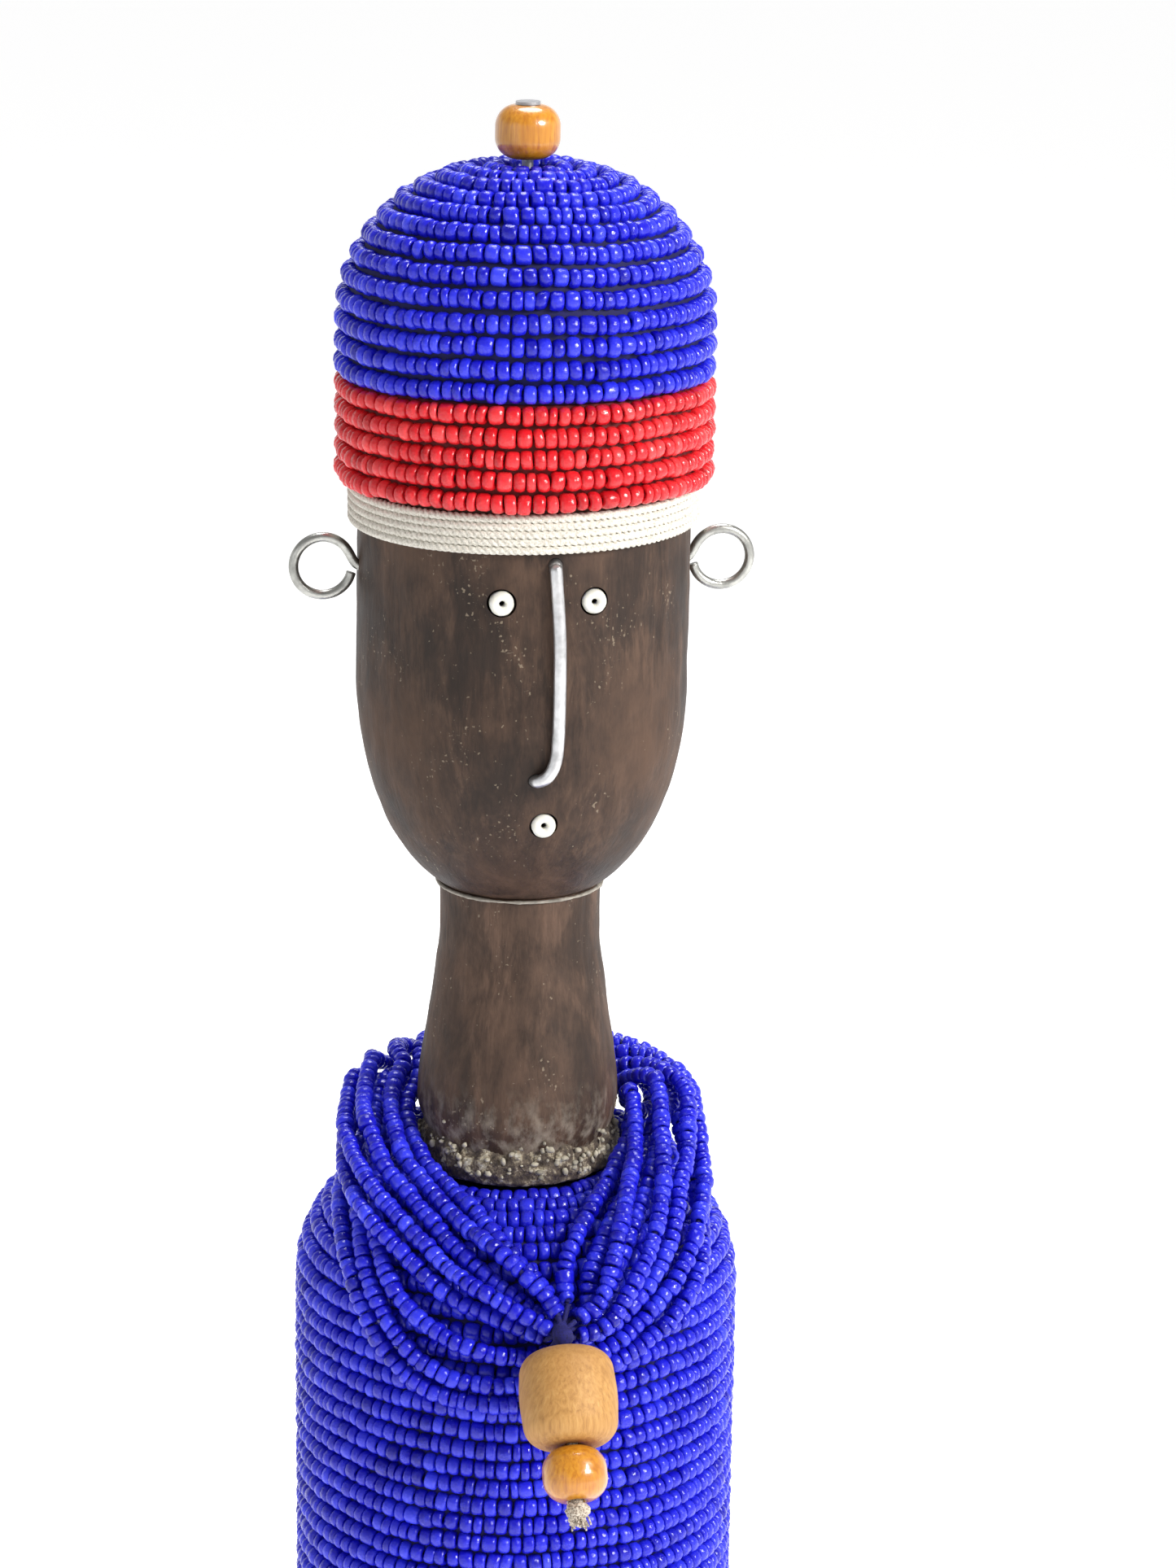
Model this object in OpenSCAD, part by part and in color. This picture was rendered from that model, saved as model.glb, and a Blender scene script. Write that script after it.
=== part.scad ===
// Beaded wooden doll: a turned body and head wound with strung glass beads,
// screw-eye ears, a wire nose, and a many-strand necklace with a hanging bead pendant.
// Millimetres. The base rests on z = 0, the doll faces -Y and its axis is Z.

/* [Body] */
// Outer radius over the body beads
body_r = 36.1; // [34:0.1:36.5]
// Height of the top of the beaded shoulder
shoulder_z = 160; // [158:0.5:161]
// Rounding radius of the beaded shoulder
shoulder_round = 20; // [19.5:0.1:20]
// Height of the bare wood below the lowest bead row
base_bare_h = 5; // [3:0.5:7]

/* [Head] */
// Radius of the head at its widest bare wood
head_r = 25.9; // [25.5:0.1:26]
// Height of the chin above the base
chin_z = 204; // [203.5:0.1:204]
// Length of the jaw, from the chin up to full width
jaw_h = 36; // [35.5:0.1:36.5]
// Height of the underside of the cord headband
headband_z = 265.1; // [265:0.1:265.2]
// Height of the joint between the red and the blue beads
colour_change_z = 288.5; // [288.2:0.1:288.7]
// Height of the top of the beaded cap
cap_top_z = 321; // [320.8:0.1:321.1]

/* [Beads] */
// Diameter of the seed beads
bead_d = 3.2; // [3.1:0.05:3.2]
// Spacing of the body rows
body_pitch = 3.22; // [3.2:0.01:3.3]
// Spacing of the blue cap rows
cap_pitch = 3.4; // [3.3:0.01:3.5]
// Diameter of the headband cord
headband_d = 1.5; // [1.45:0.01:1.5]
// Diameter of the crown bead and of the round pendant bead
round_bead_d = 10; // [9.5:0.1:10.2]
// Diameter of the barrel bead
barrel_d = 14.6; // [14:0.1:14.8]
// Length of the barrel bead
barrel_l = 14.8; // [14:0.1:15]

/* [Necklace] */
// Diameter of each necklace strand
strand_d = 2.9; // [2.8:0.05:2.9]
// Angle of the pendant round from the middle of the face
pendant_turn = 1; // [0.5:0.5:1.5]
// Angle that the hanging cord leans to the doll's right
pendant_lean = 2; // [1:1:3]
// Angle of the pendant from straight down
pendant_tilt = 40; // [40:1:44]

/* [Hidden] */
$fn = 64;

bead_r = bead_d / 2;
core_r = body_r - bead_d;
flat_r = body_r - shoulder_round;
round_z = shoulder_z - shoulder_round;
core_round = shoulder_round - bead_d;
// Beads are drawn this much smaller than their pitch, so that rows stay clear of the core
bead_gap = 0.05;
web_t = bead_r;

neck_r = 12.7;
neck_wide_r = 16.05;
neck_wide_z = 170.4;
neck_base_r = 13.2;
glue_h = 7;
glue_foot_r = 15.6;
glue_bulge = [15.9, 3.5];
glue_t = 0.6;
jaw_z = chin_z + jaw_h;
jaw_square = 0.8;
jaw_end = 66;
tenon_r = 6;
tenon_l = 24;
fit = 0.05;

cap_round = 24;
cap_flat_r = 5.6;
cap_core_round = cap_round - bead_d;
cap_core_r = cap_flat_r + cap_core_round;
cap_round_z = cap_top_z - cap_round;
headband_turns = 5;
red_z = headband_z + headband_turns * headband_d;
red_rows = 5;
red_pitch = (colour_change_z - red_z) / red_rows;

nail_r = 0.9;
nail_head_r = 1.9;
nail_head_h = 0.5;
nail_depth = 29;
crown_z = cap_top_z + 0.3;
crown_l = 8.2;

ear_x = 31.4;
ear_z = 258.5;
ear_ring_r = 4.55;
ear_wire_r = 0.75;
ear_shank_r = 1;
ear_screw_depth = 11;
ear_gap = 1.2;
ear_gap_turn = 25;

eye_x = 7.05;
eye_y = -24.9;
eye_z = 257.9;
mouth_y = -23.1;
mouth_z = 222.3;
face_bead_r = 2;
face_bead_wire = 0.75;
face_bead_depth = 5;

// The nose wire, from the end in its upper hole to the end in its lower hole
nose_wire_r = 1;
nose_leg = 7;
nose_top = [0.9, -head_r - 1.1, 263.9];
nose_foot = [-1.7, -24.4, 230];
nose_route = [nose_top + [0, nose_leg, 0], nose_top + [0, 1.6, 0], nose_top + [0, 0.5, -0.5],
    nose_top + [0, 0, -1.6], [1.5, -27.2, 253], [1.6, -27.1, 244], [1.5, -26.8, 236.6],
    [1.1, -26.7, 233.2], [0.1, -26.5, 231.1], nose_foot + [0.5, -1.6, 0.2],
    nose_foot + [0, -0.4, 0], nose_foot + [0, 1, 0], nose_foot + [0, nose_leg - 1, 0]];

strand_r = strand_d / 2;
strand_sides = 8;
// Height of a strand's centre line over the bead surface it lies on
strand_rise = strand_r + 0.15;
strand_round = shoulder_round + strand_rise;

pendant_r = 43.4;
pendant_z = 146.3;
cord_r = 0.9;
knot_r = 1.6;
knot_pin_r = 1.3;
tie_l = 7;
tie_r = 1.2;
barrel_start = 2.4;
barrel_corner = 3.6;
bead_space = 0.3;
round_bead_l = 8.4;
round_corner = 3.2;
crown_corner = 3;
pendant_knot_r = 1.8;
fray_l = 2.6;
fray_r = [1.5, 1];

// Eight strands lie twisted together as a rope behind the neck. rope_slots gives each
// strand's place in the rope at its start: [angle from straight up, distance from its middle].
rope_start = 120;
rope_end = 280;
rope_twist = 480;
rope_step = 8;
rope_out = 5.2;
rope_lift = 8.5;
rope_slots = [[-90, 3.95], [-39, 3.95], [13, 3.95], [64, 3.95], [116, 3.95], [0, 0], [219, 3.95],
    [167, 3.95]];

// Each strand's own route at the front, from the tie thread round the doll's right shoulder to
// the rope, and from the rope over its left shoulder back to the tie thread. Each point is
// [angle round from the face, distance out along the shoulder, height over the beads].
right_routes = [
    [[3, 21.8, 0], [8, 18.6, 0], [13, 15.2, 0], [19, 11.8, 0], [27, 8.4, 0], [36, 5.8, 0.2],
        [46, 4.1, 0.8], [58, 3, 2], [72, 2, 3.6], [88, 1.5, 5.2], [104, 1.5, 6.6]],
    [[3, 23.2, 3], [8, 20.4, 3], [13, 17.8, 2.8], [19, 15.4, 1.9], [27, 12.4, 0.5],
        [36, 9.5, 0.6], [46, 7.4, 1.8], [58, 6, 3.6], [72, 4.4, 5.6], [88, 3.4, 7.6],
        [104, 3, 9.1]],
    [[4, 26.2, 0], [8, 24.2, 0], [13, 22.2, 0], [19, 19.6, 0], [27, 16.4, 0.1], [36, 13.2, 0.8],
        [46, 10.8, 2.4], [58, 9.2, 4.4], [72, 7.4, 6.6], [88, 6.5, 8.6], [104, 6, 10]],
    [[3, 27.8, 3], [8, 26.2, 3], [13, 24.6, 2.9], [19, 22.8, 2.2], [27, 20.2, 0.9], [36, 16.9, 1],
        [46, 14.4, 2.5], [58, 12.4, 4.4], [72, 10.5, 6], [88, 9.3, 7.1], [104, 8.7, 8.1]],
    [[3, 30, 0], [8, 28.6, 0], [13, 27.2, 0], [19, 26, 0], [27, 24, 0], [36, 20.8, 0.3],
        [46, 17.8, 2], [52, 16.6, 3], [58, 15.3, 3.1], [72, 12.9, 3.4], [88, 10.8, 3.9],
        [104, 9.2, 4.9]],
    [[3, 33.8, 0], [9, 33.4, 0], [17, 32.4, 0.4], [25, 30.8, 0.4], [32, 28.8, 0], [39, 25.8, 0],
        [47, 21.2, 0], [54, 16.8, 0], [62, 12.4, 0.1], [70, 9.4, 1], [78, 7.6, 2.4],
        [88, 6.3, 4.2], [104, 5.6, 6]],
    [[3, 37.5, 0], [12, 38.2, 0], [22, 37.8, 0], [32, 35.4, 0], [39, 31.4, 0], [47, 26, 0],
        [54, 21.2, 0], [62, 16.6, 0], [70, 13.2, 0], [78, 10.9, 0], [88, 8.6, 0.6],
        [104, 4.9, 2.9]],
    [[3, 40.8, 0], [12, 41.4, 0], [22, 41, 0], [32, 39.4, 0], [41, 35, 0], [49, 29, 0],
        [58, 23.2, 0], [67, 18.8, 0], [78, 15.2, 0], [88, 12.6, 0.4], [104, 8.4, 1.9]]];
left_routes = [
    [[292, 8.9, 8.4], [303, 11, 6.2], [312, 13, 4.6], [319, 16.4, 3], [326, 20.4, 1.4],
        [333, 24, 0.6], [340, 27.2, 0.2], [347, 29.8, 0.2]],
    [[291, 11.8, 5.8], [301, 15, 3.8], [309, 17.6, 2.6], [316, 21, 1.2], [324, 24.6, 0.2],
        [333, 28, 0], [341, 31.2, 0], [348, 33.4, 0]],
    [[290, 11.4, 2.6], [299, 16, 0.4], [306, 20, 0], [313, 24, 0], [321, 27.8, 0],
        [330, 31.2, 0], [339, 34, 0], [348, 36.6, 0]],
    [[292, 5.1, 2.2], [304, 5.6, 0.8], [316, 7, 0], [328, 9.6, 0], [337, 12.8, 0],
        [343, 16.2, 0], [347.5, 19.8, 0], [350, 23, 0], [350.5, 25.4, 0]],
    [[292, 2, 3.6], [304, 2.2, 1.8], [316, 3.2, 0.4], [328, 5.4, 0], [338, 8.4, 0],
        [346, 12, 0], [352, 15.8, 0], [355.5, 19.4, 0], [356, 22.4, 0]],
    [[292, 5.8, 5.6], [304, 7.2, 3.8], [316, 9.6, 2.2], [326, 12.6, 0.8], [334, 16.2, 0.2],
        [340, 20, 0.2], [344, 23.6, 0.2], [345, 25.2, 0.2]],
    [[292, 5.2, 9.4], [304, 7.2, 7.2], [314, 10.2, 5.7], [322, 13.6, 4.1], [329, 17.4, 3.3],
        [335, 21, 3.1], [341, 24.4, 3.1], [345.5, 27.4, 3.1]],
    [[292, 2.4, 7.2], [304, 3.8, 5.4], [316, 6.2, 3.9], [326, 9, 3.1], [334, 12.6, 3],
        [340, 16.8, 3], [344.5, 20.8, 3.1], [347.5, 24, 3.1]]];

// Three strands lie flat under the rope: [distance out along the shoulder, first angle, last
// angle] of each. Their ends are tucked in among the others.
under_routes = [[2.9, 76, 284], [6.1, 112, 280], [9.3, 112, 280]];
under_step = 8;

// Small helpers

function face_dir(a) = [-sin(a), -cos(a), 0];

function unit(v) = v / norm(v);

// A point and the outward normal of the beaded shoulder: s runs out from the flat top
function shoulder_normal(a, s) =
    let (tip = s < 0 ? 0 : min(90, s / strand_round * 180 / PI))
    face_dir(a) * sin(tip) + [0, 0, cos(tip)];

function shoulder_point(a, s, lift) =
    let (quarter = strand_round * PI / 2,
        inner = min(0, s),
        down = max(0, s - quarter))
    face_dir(a) * (flat_r + inner) + [0, 0, round_z - down]
        + shoulder_normal(a, s) * (strand_round + lift);

// A strand's place in the rope at an angle a, by the turn of the rope
function rope_station(i, a) =
    let (turn = rope_slots[i][0] + rope_twist * (a - rope_start) / (rope_end - rope_start))
    [a, rope_out + rope_slots[i][1] * sin(turn), rope_lift + rope_slots[i][1] * cos(turn)];

function strand_stations(i) = concat(right_routes[i],
    [for (a = [rope_start : rope_step : rope_end]) rope_station(i, a)],
    left_routes[i]);

function under_stations(i) =
    [for (a = [under_routes[i][1] : under_step : under_routes[i][2]]) [a, under_routes[i][0], 0]];

// A smooth curve through the stations, with one more station between each pair
function halfway(q, k) =
    let (last = len(q) - 1)
    (9 * (q[k] + q[k + 1]) - q[max(0, k - 1)] - q[min(last, k + 2)]) / 16;

function smooth(q) = concat([for (k = [0 : len(q) - 2]) each [q[k], halfway(q, k)]],
    [q[len(q) - 1]]);

// One ring of a tube: sides points round p, square to the run of the path
function ring(p, along, up, radius, sides) =
    let (across = unit(cross(along, up)), out = unit(cross(across, along)))
    [for (j = [0 : sides - 1])
        p + radius * (out * cos(360 * j / sides) + across * sin(360 * j / sides))];

module tube(points, ups, radius, sides) {
    n = len(points);
    rings = [for (k = [0 : n - 1])
        ring(points[k], points[min(n - 1, k + 1)] - points[max(0, k - 1)], ups[k], radius, sides)];
    walls = [for (k = [0 : n - 2], j = [0 : sides - 1])
        let (a = k * sides + j, b = k * sides + (j + 1) % sides)
        [a, a + sides, b + sides, b]];
    first = [for (j = [0 : sides - 1]) j];
    last = [for (j = [sides - 1 : -1 : 0]) (n - 1) * sides + j];
    polyhedron([for (one = rings) each one], concat([first], walls, [last]));
}

// A wooden bead about Z, centred on the origin, with rounded ends and a hole
module wooden_bead(d, l, corner, hole_r) {
    rotate_extrude()
        difference() {
            union() {
                square([d / 2 - corner, l / 2]);
                square([d / 2, l / 2 - corner]);
                translate([d / 2 - corner, l / 2 - corner]) circle(corner);
                mirror([0, 1]) {
                    square([d / 2 - corner, l / 2]);
                    square([d / 2, l / 2 - corner]);
                    translate([d / 2 - corner, l / 2 - corner]) circle(corner);
                }
            }
            translate([-d, -l]) square([d + hole_r, 2 * l]);
        }
}

// Half section of a rounded top: a quarter disc of radius r about [flat, z], and what is inside it
module dome_section(flat, z, r) {
    translate([flat, z]) intersection() {
        circle(r);
        square(r + 1);
    }
    translate([0, z]) square([flat, r]);
}

// Half section of one row of beads
module row_section(r, z) {
    translate([r, z]) circle(bead_r - bead_gap);
}

// Half section of the rows that climb a rounded top of core radius r about [flat, z], with the
// web that joins them, in to the radius inner
module dome_rows(flat, z, r, pitch, inner, first) {
    row_r = r + bead_r;
    step = pitch / row_r * 180 / PI;
    difference() {
        dome_section(flat, z, r + web_t);
        translate([-r, -r]) dome_section(flat + r, z + r, r);
        translate([-1, z - 1]) square([inner + 1, r + web_t + 2]);
    }
    for (tip = [first : step : 90])
        row_section(flat + row_r * cos(tip), z + row_r * sin(tip));
    for (x = [flat - pitch : -pitch : inner + bead_r])
        row_section(x, z + row_r);
}

// Wooden core

function jaw_point(t) = [head_r * pow(cos(t), jaw_square), jaw_z - jaw_h * sin(t)];

module torso_core() {
    color("saddlebrown") difference() {
        rotate_extrude() {
            translate([0, 1]) square([core_r, round_z - 1]);
            square([core_r - 1, 1]);
            dome_section(flat_r, round_z, core_round);
        }
        translate([0, 0, shoulder_z - bead_d - tenon_l]) cylinder(h = tenon_l + 1, r = tenon_r + fit);
    }
}

module neck_post() {
    color("saddlebrown") {
        rotate_extrude()
            polygon([[0, shoulder_z - bead_d], [neck_base_r, shoulder_z - bead_d],
                [neck_base_r, shoulder_z], [neck_wide_r, neck_wide_z], [14.9, 182], [14, 188],
                [13.4, 193], [neck_r, 197], [neck_r, jaw_point(jaw_end)[1]],
                [0, jaw_point(jaw_end)[1]]]);
        translate([0, 0, shoulder_z - bead_d - tenon_l + 1]) cylinder(h = tenon_l, r = tenon_r);
        translate([0, 0, jaw_point(jaw_end)[1] - 1]) cylinder(h = tenon_l, r = tenon_r);
    }
}

module head_block() {
    color("saddlebrown") difference() {
        rotate_extrude() {
            polygon(concat([[0, headband_z], [0, jaw_point(jaw_end)[1]]],
                [for (t = [jaw_end : -6 : 0]) jaw_point(t)], [[head_r, headband_z]]));
            translate([0, headband_z]) square([head_r, red_z - headband_z]);
            translate([0, red_z]) square([cap_core_r, cap_round_z - red_z]);
            dome_section(cap_flat_r, cap_round_z, cap_core_round);
        }
        translate([0, 0, chin_z - 1]) cylinder(h = jaw_point(jaw_end)[1] + tenon_l - chin_z + 1,
            r = tenon_r + fit);
        translate([0, 0, crown_z - nail_depth - 1]) cylinder(h = nail_depth + 1, r = nail_r + fit);
        for (side = [-1, 1])
            translate([side * (head_r + 1), 0, ear_z]) rotate([0, -side * 90, 0])
                cylinder(h = ear_screw_depth + 1.5, r = ear_shank_r + fit);
        for (x = [-eye_x, eye_x])
            translate([x, eye_y + face_bead_wire, eye_z]) rotate([90, 0, 0])
                cylinder(h = face_bead_depth, r = face_bead_r + fit);
        translate([0, mouth_y + face_bead_wire, mouth_z]) rotate([90, 0, 0])
            cylinder(h = face_bead_depth, r = face_bead_r + fit);
        for (end = [nose_top, nose_foot])
            translate(end - [0, 2, 0]) rotate([-90, 0, 0])
                cylinder(h = nose_leg + 2, r = nose_wire_r + fit);
    }
}

module chin_glue_line() {
    color("ivory") rotate_extrude() translate([neck_r + 0.55, jaw_point(jaw_end)[1] - 0.6]) circle(0.5);
}

module neck_glue_collar() {
    top_r = neck_base_r + (neck_wide_r - neck_base_r) * glue_h / (neck_wide_z - shoulder_z);
    color("lightyellow") translate([0, 0, shoulder_z]) rotate_extrude()
        polygon([[neck_base_r + 0.1, 0.1], [glue_foot_r, 0.1], glue_bulge,
            [top_r + glue_t, glue_h], [top_r + 0.1, glue_h]]);
}

// Bead windings

module body_bead_winding() {
    first = base_bare_h + bead_r;
    color("blue") rotate_extrude() {
        translate([core_r, base_bare_h]) square([web_t, round_z - base_bare_h - bead_gap]);
        for (z = [first : body_pitch : round_z - bead_r])
            row_section(core_r + bead_r, z);
    }
}

module shoulder_bead_winding() {
    row_r = core_round + bead_r;
    color("mediumblue") rotate_extrude()
        dome_rows(flat_r, round_z, core_round, body_pitch, neck_base_r + fit,
            bead_r / row_r * 180 / PI);
}

module cap_blue_winding() {
    color("blue") rotate_extrude() {
        translate([cap_core_r, colour_change_z + bead_gap])
            square([web_t, cap_round_z - colour_change_z - bead_gap]);
        for (z = [colour_change_z + bead_r + bead_gap : cap_pitch : cap_round_z - bead_r])
            row_section(cap_core_r + bead_r, z);
        dome_rows(cap_flat_r, cap_round_z, cap_core_round, cap_pitch, nail_head_r, 2);
    }
}

module cap_red_winding() {
    color("tomato") rotate_extrude() {
        translate([cap_core_r, red_z]) square([web_t, red_rows * red_pitch]);
        for (k = [0 : red_rows - 1])
            row_section(cap_core_r + bead_r, red_z + (k + 0.5) * red_pitch);
    }
}

module headband_cord() {
    cord_r = headband_d / 2;
    color("ivory") rotate_extrude() {
        translate([head_r + fit, headband_z])
            square([cord_r, headband_turns * headband_d - fit]);
        for (k = [0 : headband_turns - 1])
            translate([head_r + cord_r + fit, headband_z + (k + 0.5) * headband_d])
                circle(cord_r - fit / 2);
    }
}

// Crown

module crown_nail() {
    color("silver") {
        translate([0, 0, crown_z - nail_depth]) cylinder(h = nail_depth + crown_l, r = nail_r);
        translate([0, 0, crown_z + crown_l + 0.05]) cylinder(h = nail_head_h - 0.05, r = nail_head_r);
        translate([0, 0, crown_z + crown_l - 1]) cylinder(h = 1 + nail_head_h, r = nail_r);
    }
}

module crown_bead() {
    color("orange") translate([0, 0, crown_z + crown_l / 2])
        wooden_bead(round_bead_d, crown_l, crown_corner, nail_r + fit);
}

// Face

module screw_eye(side) {
    color("silver") translate([side * ear_x, 0, ear_z]) {
        difference() {
            rotate([90, 0, 0]) rotate_extrude() translate([ear_ring_r, 0]) circle(ear_wire_r);
            rotate([0, side * ear_gap_turn, 0]) translate([-side * ear_ring_r - 1, -1, 0])
                cube([2, 2, ear_gap]);
        }
        translate([-side * (ear_ring_r - 0.3), 0, 0]) rotate([0, -side * 90, 0])
            cylinder(h = ear_x - head_r - ear_ring_r + ear_screw_depth, r = ear_shank_r);
    }
}

module left_ear_screw_eye() {
    screw_eye(1);
}

module right_ear_screw_eye() {
    screw_eye(-1);
}

module nose_wire() {
    color("silver") tube(nose_route, [for (p = nose_route) [1, 0, 0]], nose_wire_r, 12);
}

module face_bead(x, y, z) {
    color("white") translate([x, y, z]) rotate([90, 0, 0])
        rotate_extrude() translate([face_bead_r - face_bead_wire, 0]) circle(face_bead_wire);
}

module left_eye_bead() {
    face_bead(eye_x, eye_y, eye_z);
}

module right_eye_bead() {
    face_bead(-eye_x, eye_y, eye_z);
}

module mouth_bead() {
    face_bead(0, mouth_y, mouth_z);
}

// Necklace

module necklace_strand(i) {
    fronts = len(right_routes);
    stations = smooth(i <= fronts ? strand_stations(i - 1) : under_stations(i - fronts - 1));
    color("royalblue")
        tube([for (q = stations) shoulder_point(q[0], q[1], q[2])],
            [for (q = stations) shoulder_normal(q[0], q[1])], strand_r, strand_sides);
}

// Places its children at the pendant's pivot, with +X out along the plane that the cord hangs in
module at_pivot() {
    rotate([0, 0, pendant_turn - 90]) translate([pendant_r, 0, pendant_z])
        rotate([0, 0, -pendant_lean]) children();
}

module strand_tie_thread() {
    color("lightgray") at_pivot() difference() {
        rotate([0, -90, 0]) cylinder(h = tie_l, r = tie_r);
        sphere(knot_r + fit);
    }
}

module pendant_swing_knot() {
    color("lightgray") at_pivot() intersection() {
        sphere(knot_r);
        rotate([90, 0, 0]) cylinder(h = 2 * knot_r, r = knot_pin_r, center = true);
    }
}

// Places its children with -Z along the hanging cord
module along_cord() {
    at_pivot() rotate([0, -pendant_tilt, 0]) children();
}

round_start = barrel_start + barrel_l + bead_space;
cord_l = round_start + round_bead_l + bead_space;

module pendant_cord() {
    color("lightgray") along_cord() {
        difference() {
            translate([0, 0, -cord_l - 1]) cylinder(h = cord_l + 1, r = cord_r);
            sphere(knot_r + fit);
        }
        translate([0, 0, -cord_l - pendant_knot_r]) sphere(pendant_knot_r);
        translate([0, 0, -cord_l - pendant_knot_r - fray_l])
            cylinder(h = fray_l, r1 = fray_r[0], r2 = fray_r[1]);
    }
}

module pendant_barrel_bead() {
    color("peru") along_cord() translate([0, 0, -barrel_start - barrel_l / 2])
        wooden_bead(barrel_d, barrel_l, barrel_corner, cord_r + fit);
}

module pendant_round_bead() {
    color("orange") along_cord() translate([0, 0, -round_start - round_bead_l / 2])
        wooden_bead(round_bead_d, round_bead_l, round_corner, cord_r + fit);
}

torso_core();
neck_post();
head_block();
chin_glue_line();
neck_glue_collar();
body_bead_winding();
shoulder_bead_winding();
cap_blue_winding();
cap_red_winding();
headband_cord();
crown_nail();
crown_bead();
left_ear_screw_eye();
right_ear_screw_eye();
nose_wire();
left_eye_bead();
right_eye_bead();
mouth_bead();
necklace_strand(1);  // necklace_strand_1
necklace_strand(2);  // necklace_strand_2
necklace_strand(3);  // necklace_strand_3
necklace_strand(4);  // necklace_strand_4
necklace_strand(5);  // necklace_strand_5
necklace_strand(6);  // necklace_strand_6
necklace_strand(7);  // necklace_strand_7
necklace_strand(8);  // necklace_strand_8
necklace_strand(9);  // necklace_strand_9
necklace_strand(10);  // necklace_strand_10
necklace_strand(11);  // necklace_strand_11
strand_tie_thread();
pendant_swing_knot();
pendant_cord();
pendant_barrel_bead();
pendant_round_bead();
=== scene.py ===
"""A beaded wooden doll: the looks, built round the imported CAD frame. Metres, doll facing -Y."""
import math

import bmesh
import bpy
import numpy as np
from mathutils import Matrix, Quaternion, Vector, noise


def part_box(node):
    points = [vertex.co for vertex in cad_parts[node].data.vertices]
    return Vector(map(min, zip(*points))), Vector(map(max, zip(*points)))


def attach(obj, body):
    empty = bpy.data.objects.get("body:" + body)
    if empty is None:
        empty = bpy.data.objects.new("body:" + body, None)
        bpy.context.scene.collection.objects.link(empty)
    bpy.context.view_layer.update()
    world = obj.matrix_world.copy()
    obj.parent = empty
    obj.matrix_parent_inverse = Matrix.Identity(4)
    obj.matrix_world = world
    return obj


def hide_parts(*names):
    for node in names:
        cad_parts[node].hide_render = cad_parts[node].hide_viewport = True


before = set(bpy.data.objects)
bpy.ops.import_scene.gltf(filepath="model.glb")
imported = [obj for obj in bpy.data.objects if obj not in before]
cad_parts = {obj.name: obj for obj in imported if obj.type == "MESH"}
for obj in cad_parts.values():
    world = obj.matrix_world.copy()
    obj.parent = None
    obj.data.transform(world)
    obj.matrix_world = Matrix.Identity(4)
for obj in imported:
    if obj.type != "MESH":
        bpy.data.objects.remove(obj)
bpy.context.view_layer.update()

MM = 0.001
RNG = np.random.default_rng(41)

# Sizes that part.scad also holds, in metres. What a node's box can give comes from the frame.
BEAD_D = 3.2 * MM
BODY_PITCH = 3.22 * MM
CAP_PITCH = 3.4 * MM
SHOULDER_ROUND = 20 * MM
CAP_ROUND = 24 * MM
STRAND_D = 3.0 * MM
STRAND_RISE = 1.6 * MM
HEADBAND_D = 1.5 * MM
HEADBAND_TURNS = 5
RED_ROWS = 5
EAR_X, EAR_Z, EAR_RING, EAR_WIRE = 31.4 * MM, 258.5 * MM, 4.55 * MM, 0.75 * MM
PIVOT_R, PIVOT_Z = 43.4 * MM, 146.3 * MM
PIVOT_TURN, PIVOT_LEAN, PIVOT_TILT = math.radians(1), math.radians(2), math.radians(40)
CORD_R = 0.9 * MM
BARREL_START, BARREL_L, BARREL_D = 2.4 * MM, 14.8 * MM, 14.6 * MM
ROUND_L, ROUND_D = 8.4 * MM, 10 * MM
BEAD_SPACE = 0.3 * MM

CORE_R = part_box("torso_core")[1][0]
CORE_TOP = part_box("torso_core")[1][2]
BODY_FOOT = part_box("body_bead_winding")[0][2]
SHOULDER_TOP = CORE_TOP + BEAD_D
ROUND_Z = SHOULDER_TOP - SHOULDER_ROUND
FLAT_R = CORE_R + BEAD_D - SHOULDER_ROUND
HEAD_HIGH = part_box("head_block")[1]
CAP_CORE_R = HEAD_HIGH[0]
CAP_ROUND_Z = HEAD_HIGH[2] + BEAD_D - CAP_ROUND
CAP_FLAT_R = CAP_CORE_R + BEAD_D - CAP_ROUND
HEADBAND_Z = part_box("headband_cord")[0][2]
RED_Z = HEADBAND_Z + HEADBAND_TURNS * HEADBAND_D
BLUE_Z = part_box("cap_red_winding")[1][2]
HEAD_R = 25.9 * MM
COLLAR_GAP_R = 13.2 * MM      # the beads leave this hole round the neck

# The rope: angles round from the face in degrees, distances in millimetres. Each strand has its
# own slot in the twist: [angle, distance from the rope's middle].
ROPE_START, ROPE_END, ROPE_TWIST, ROPE_STEP, ROPE_OUT, ROPE_LIFT = 120, 280, 480, 8, 5.2, 8.5
ROPE_SLOTS = [[-90, 3.95], [-39, 3.95], [13, 3.95], [64, 3.95], [116, 3.95], [0, 0], [219, 3.95],
    [167, 3.95]]
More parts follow.
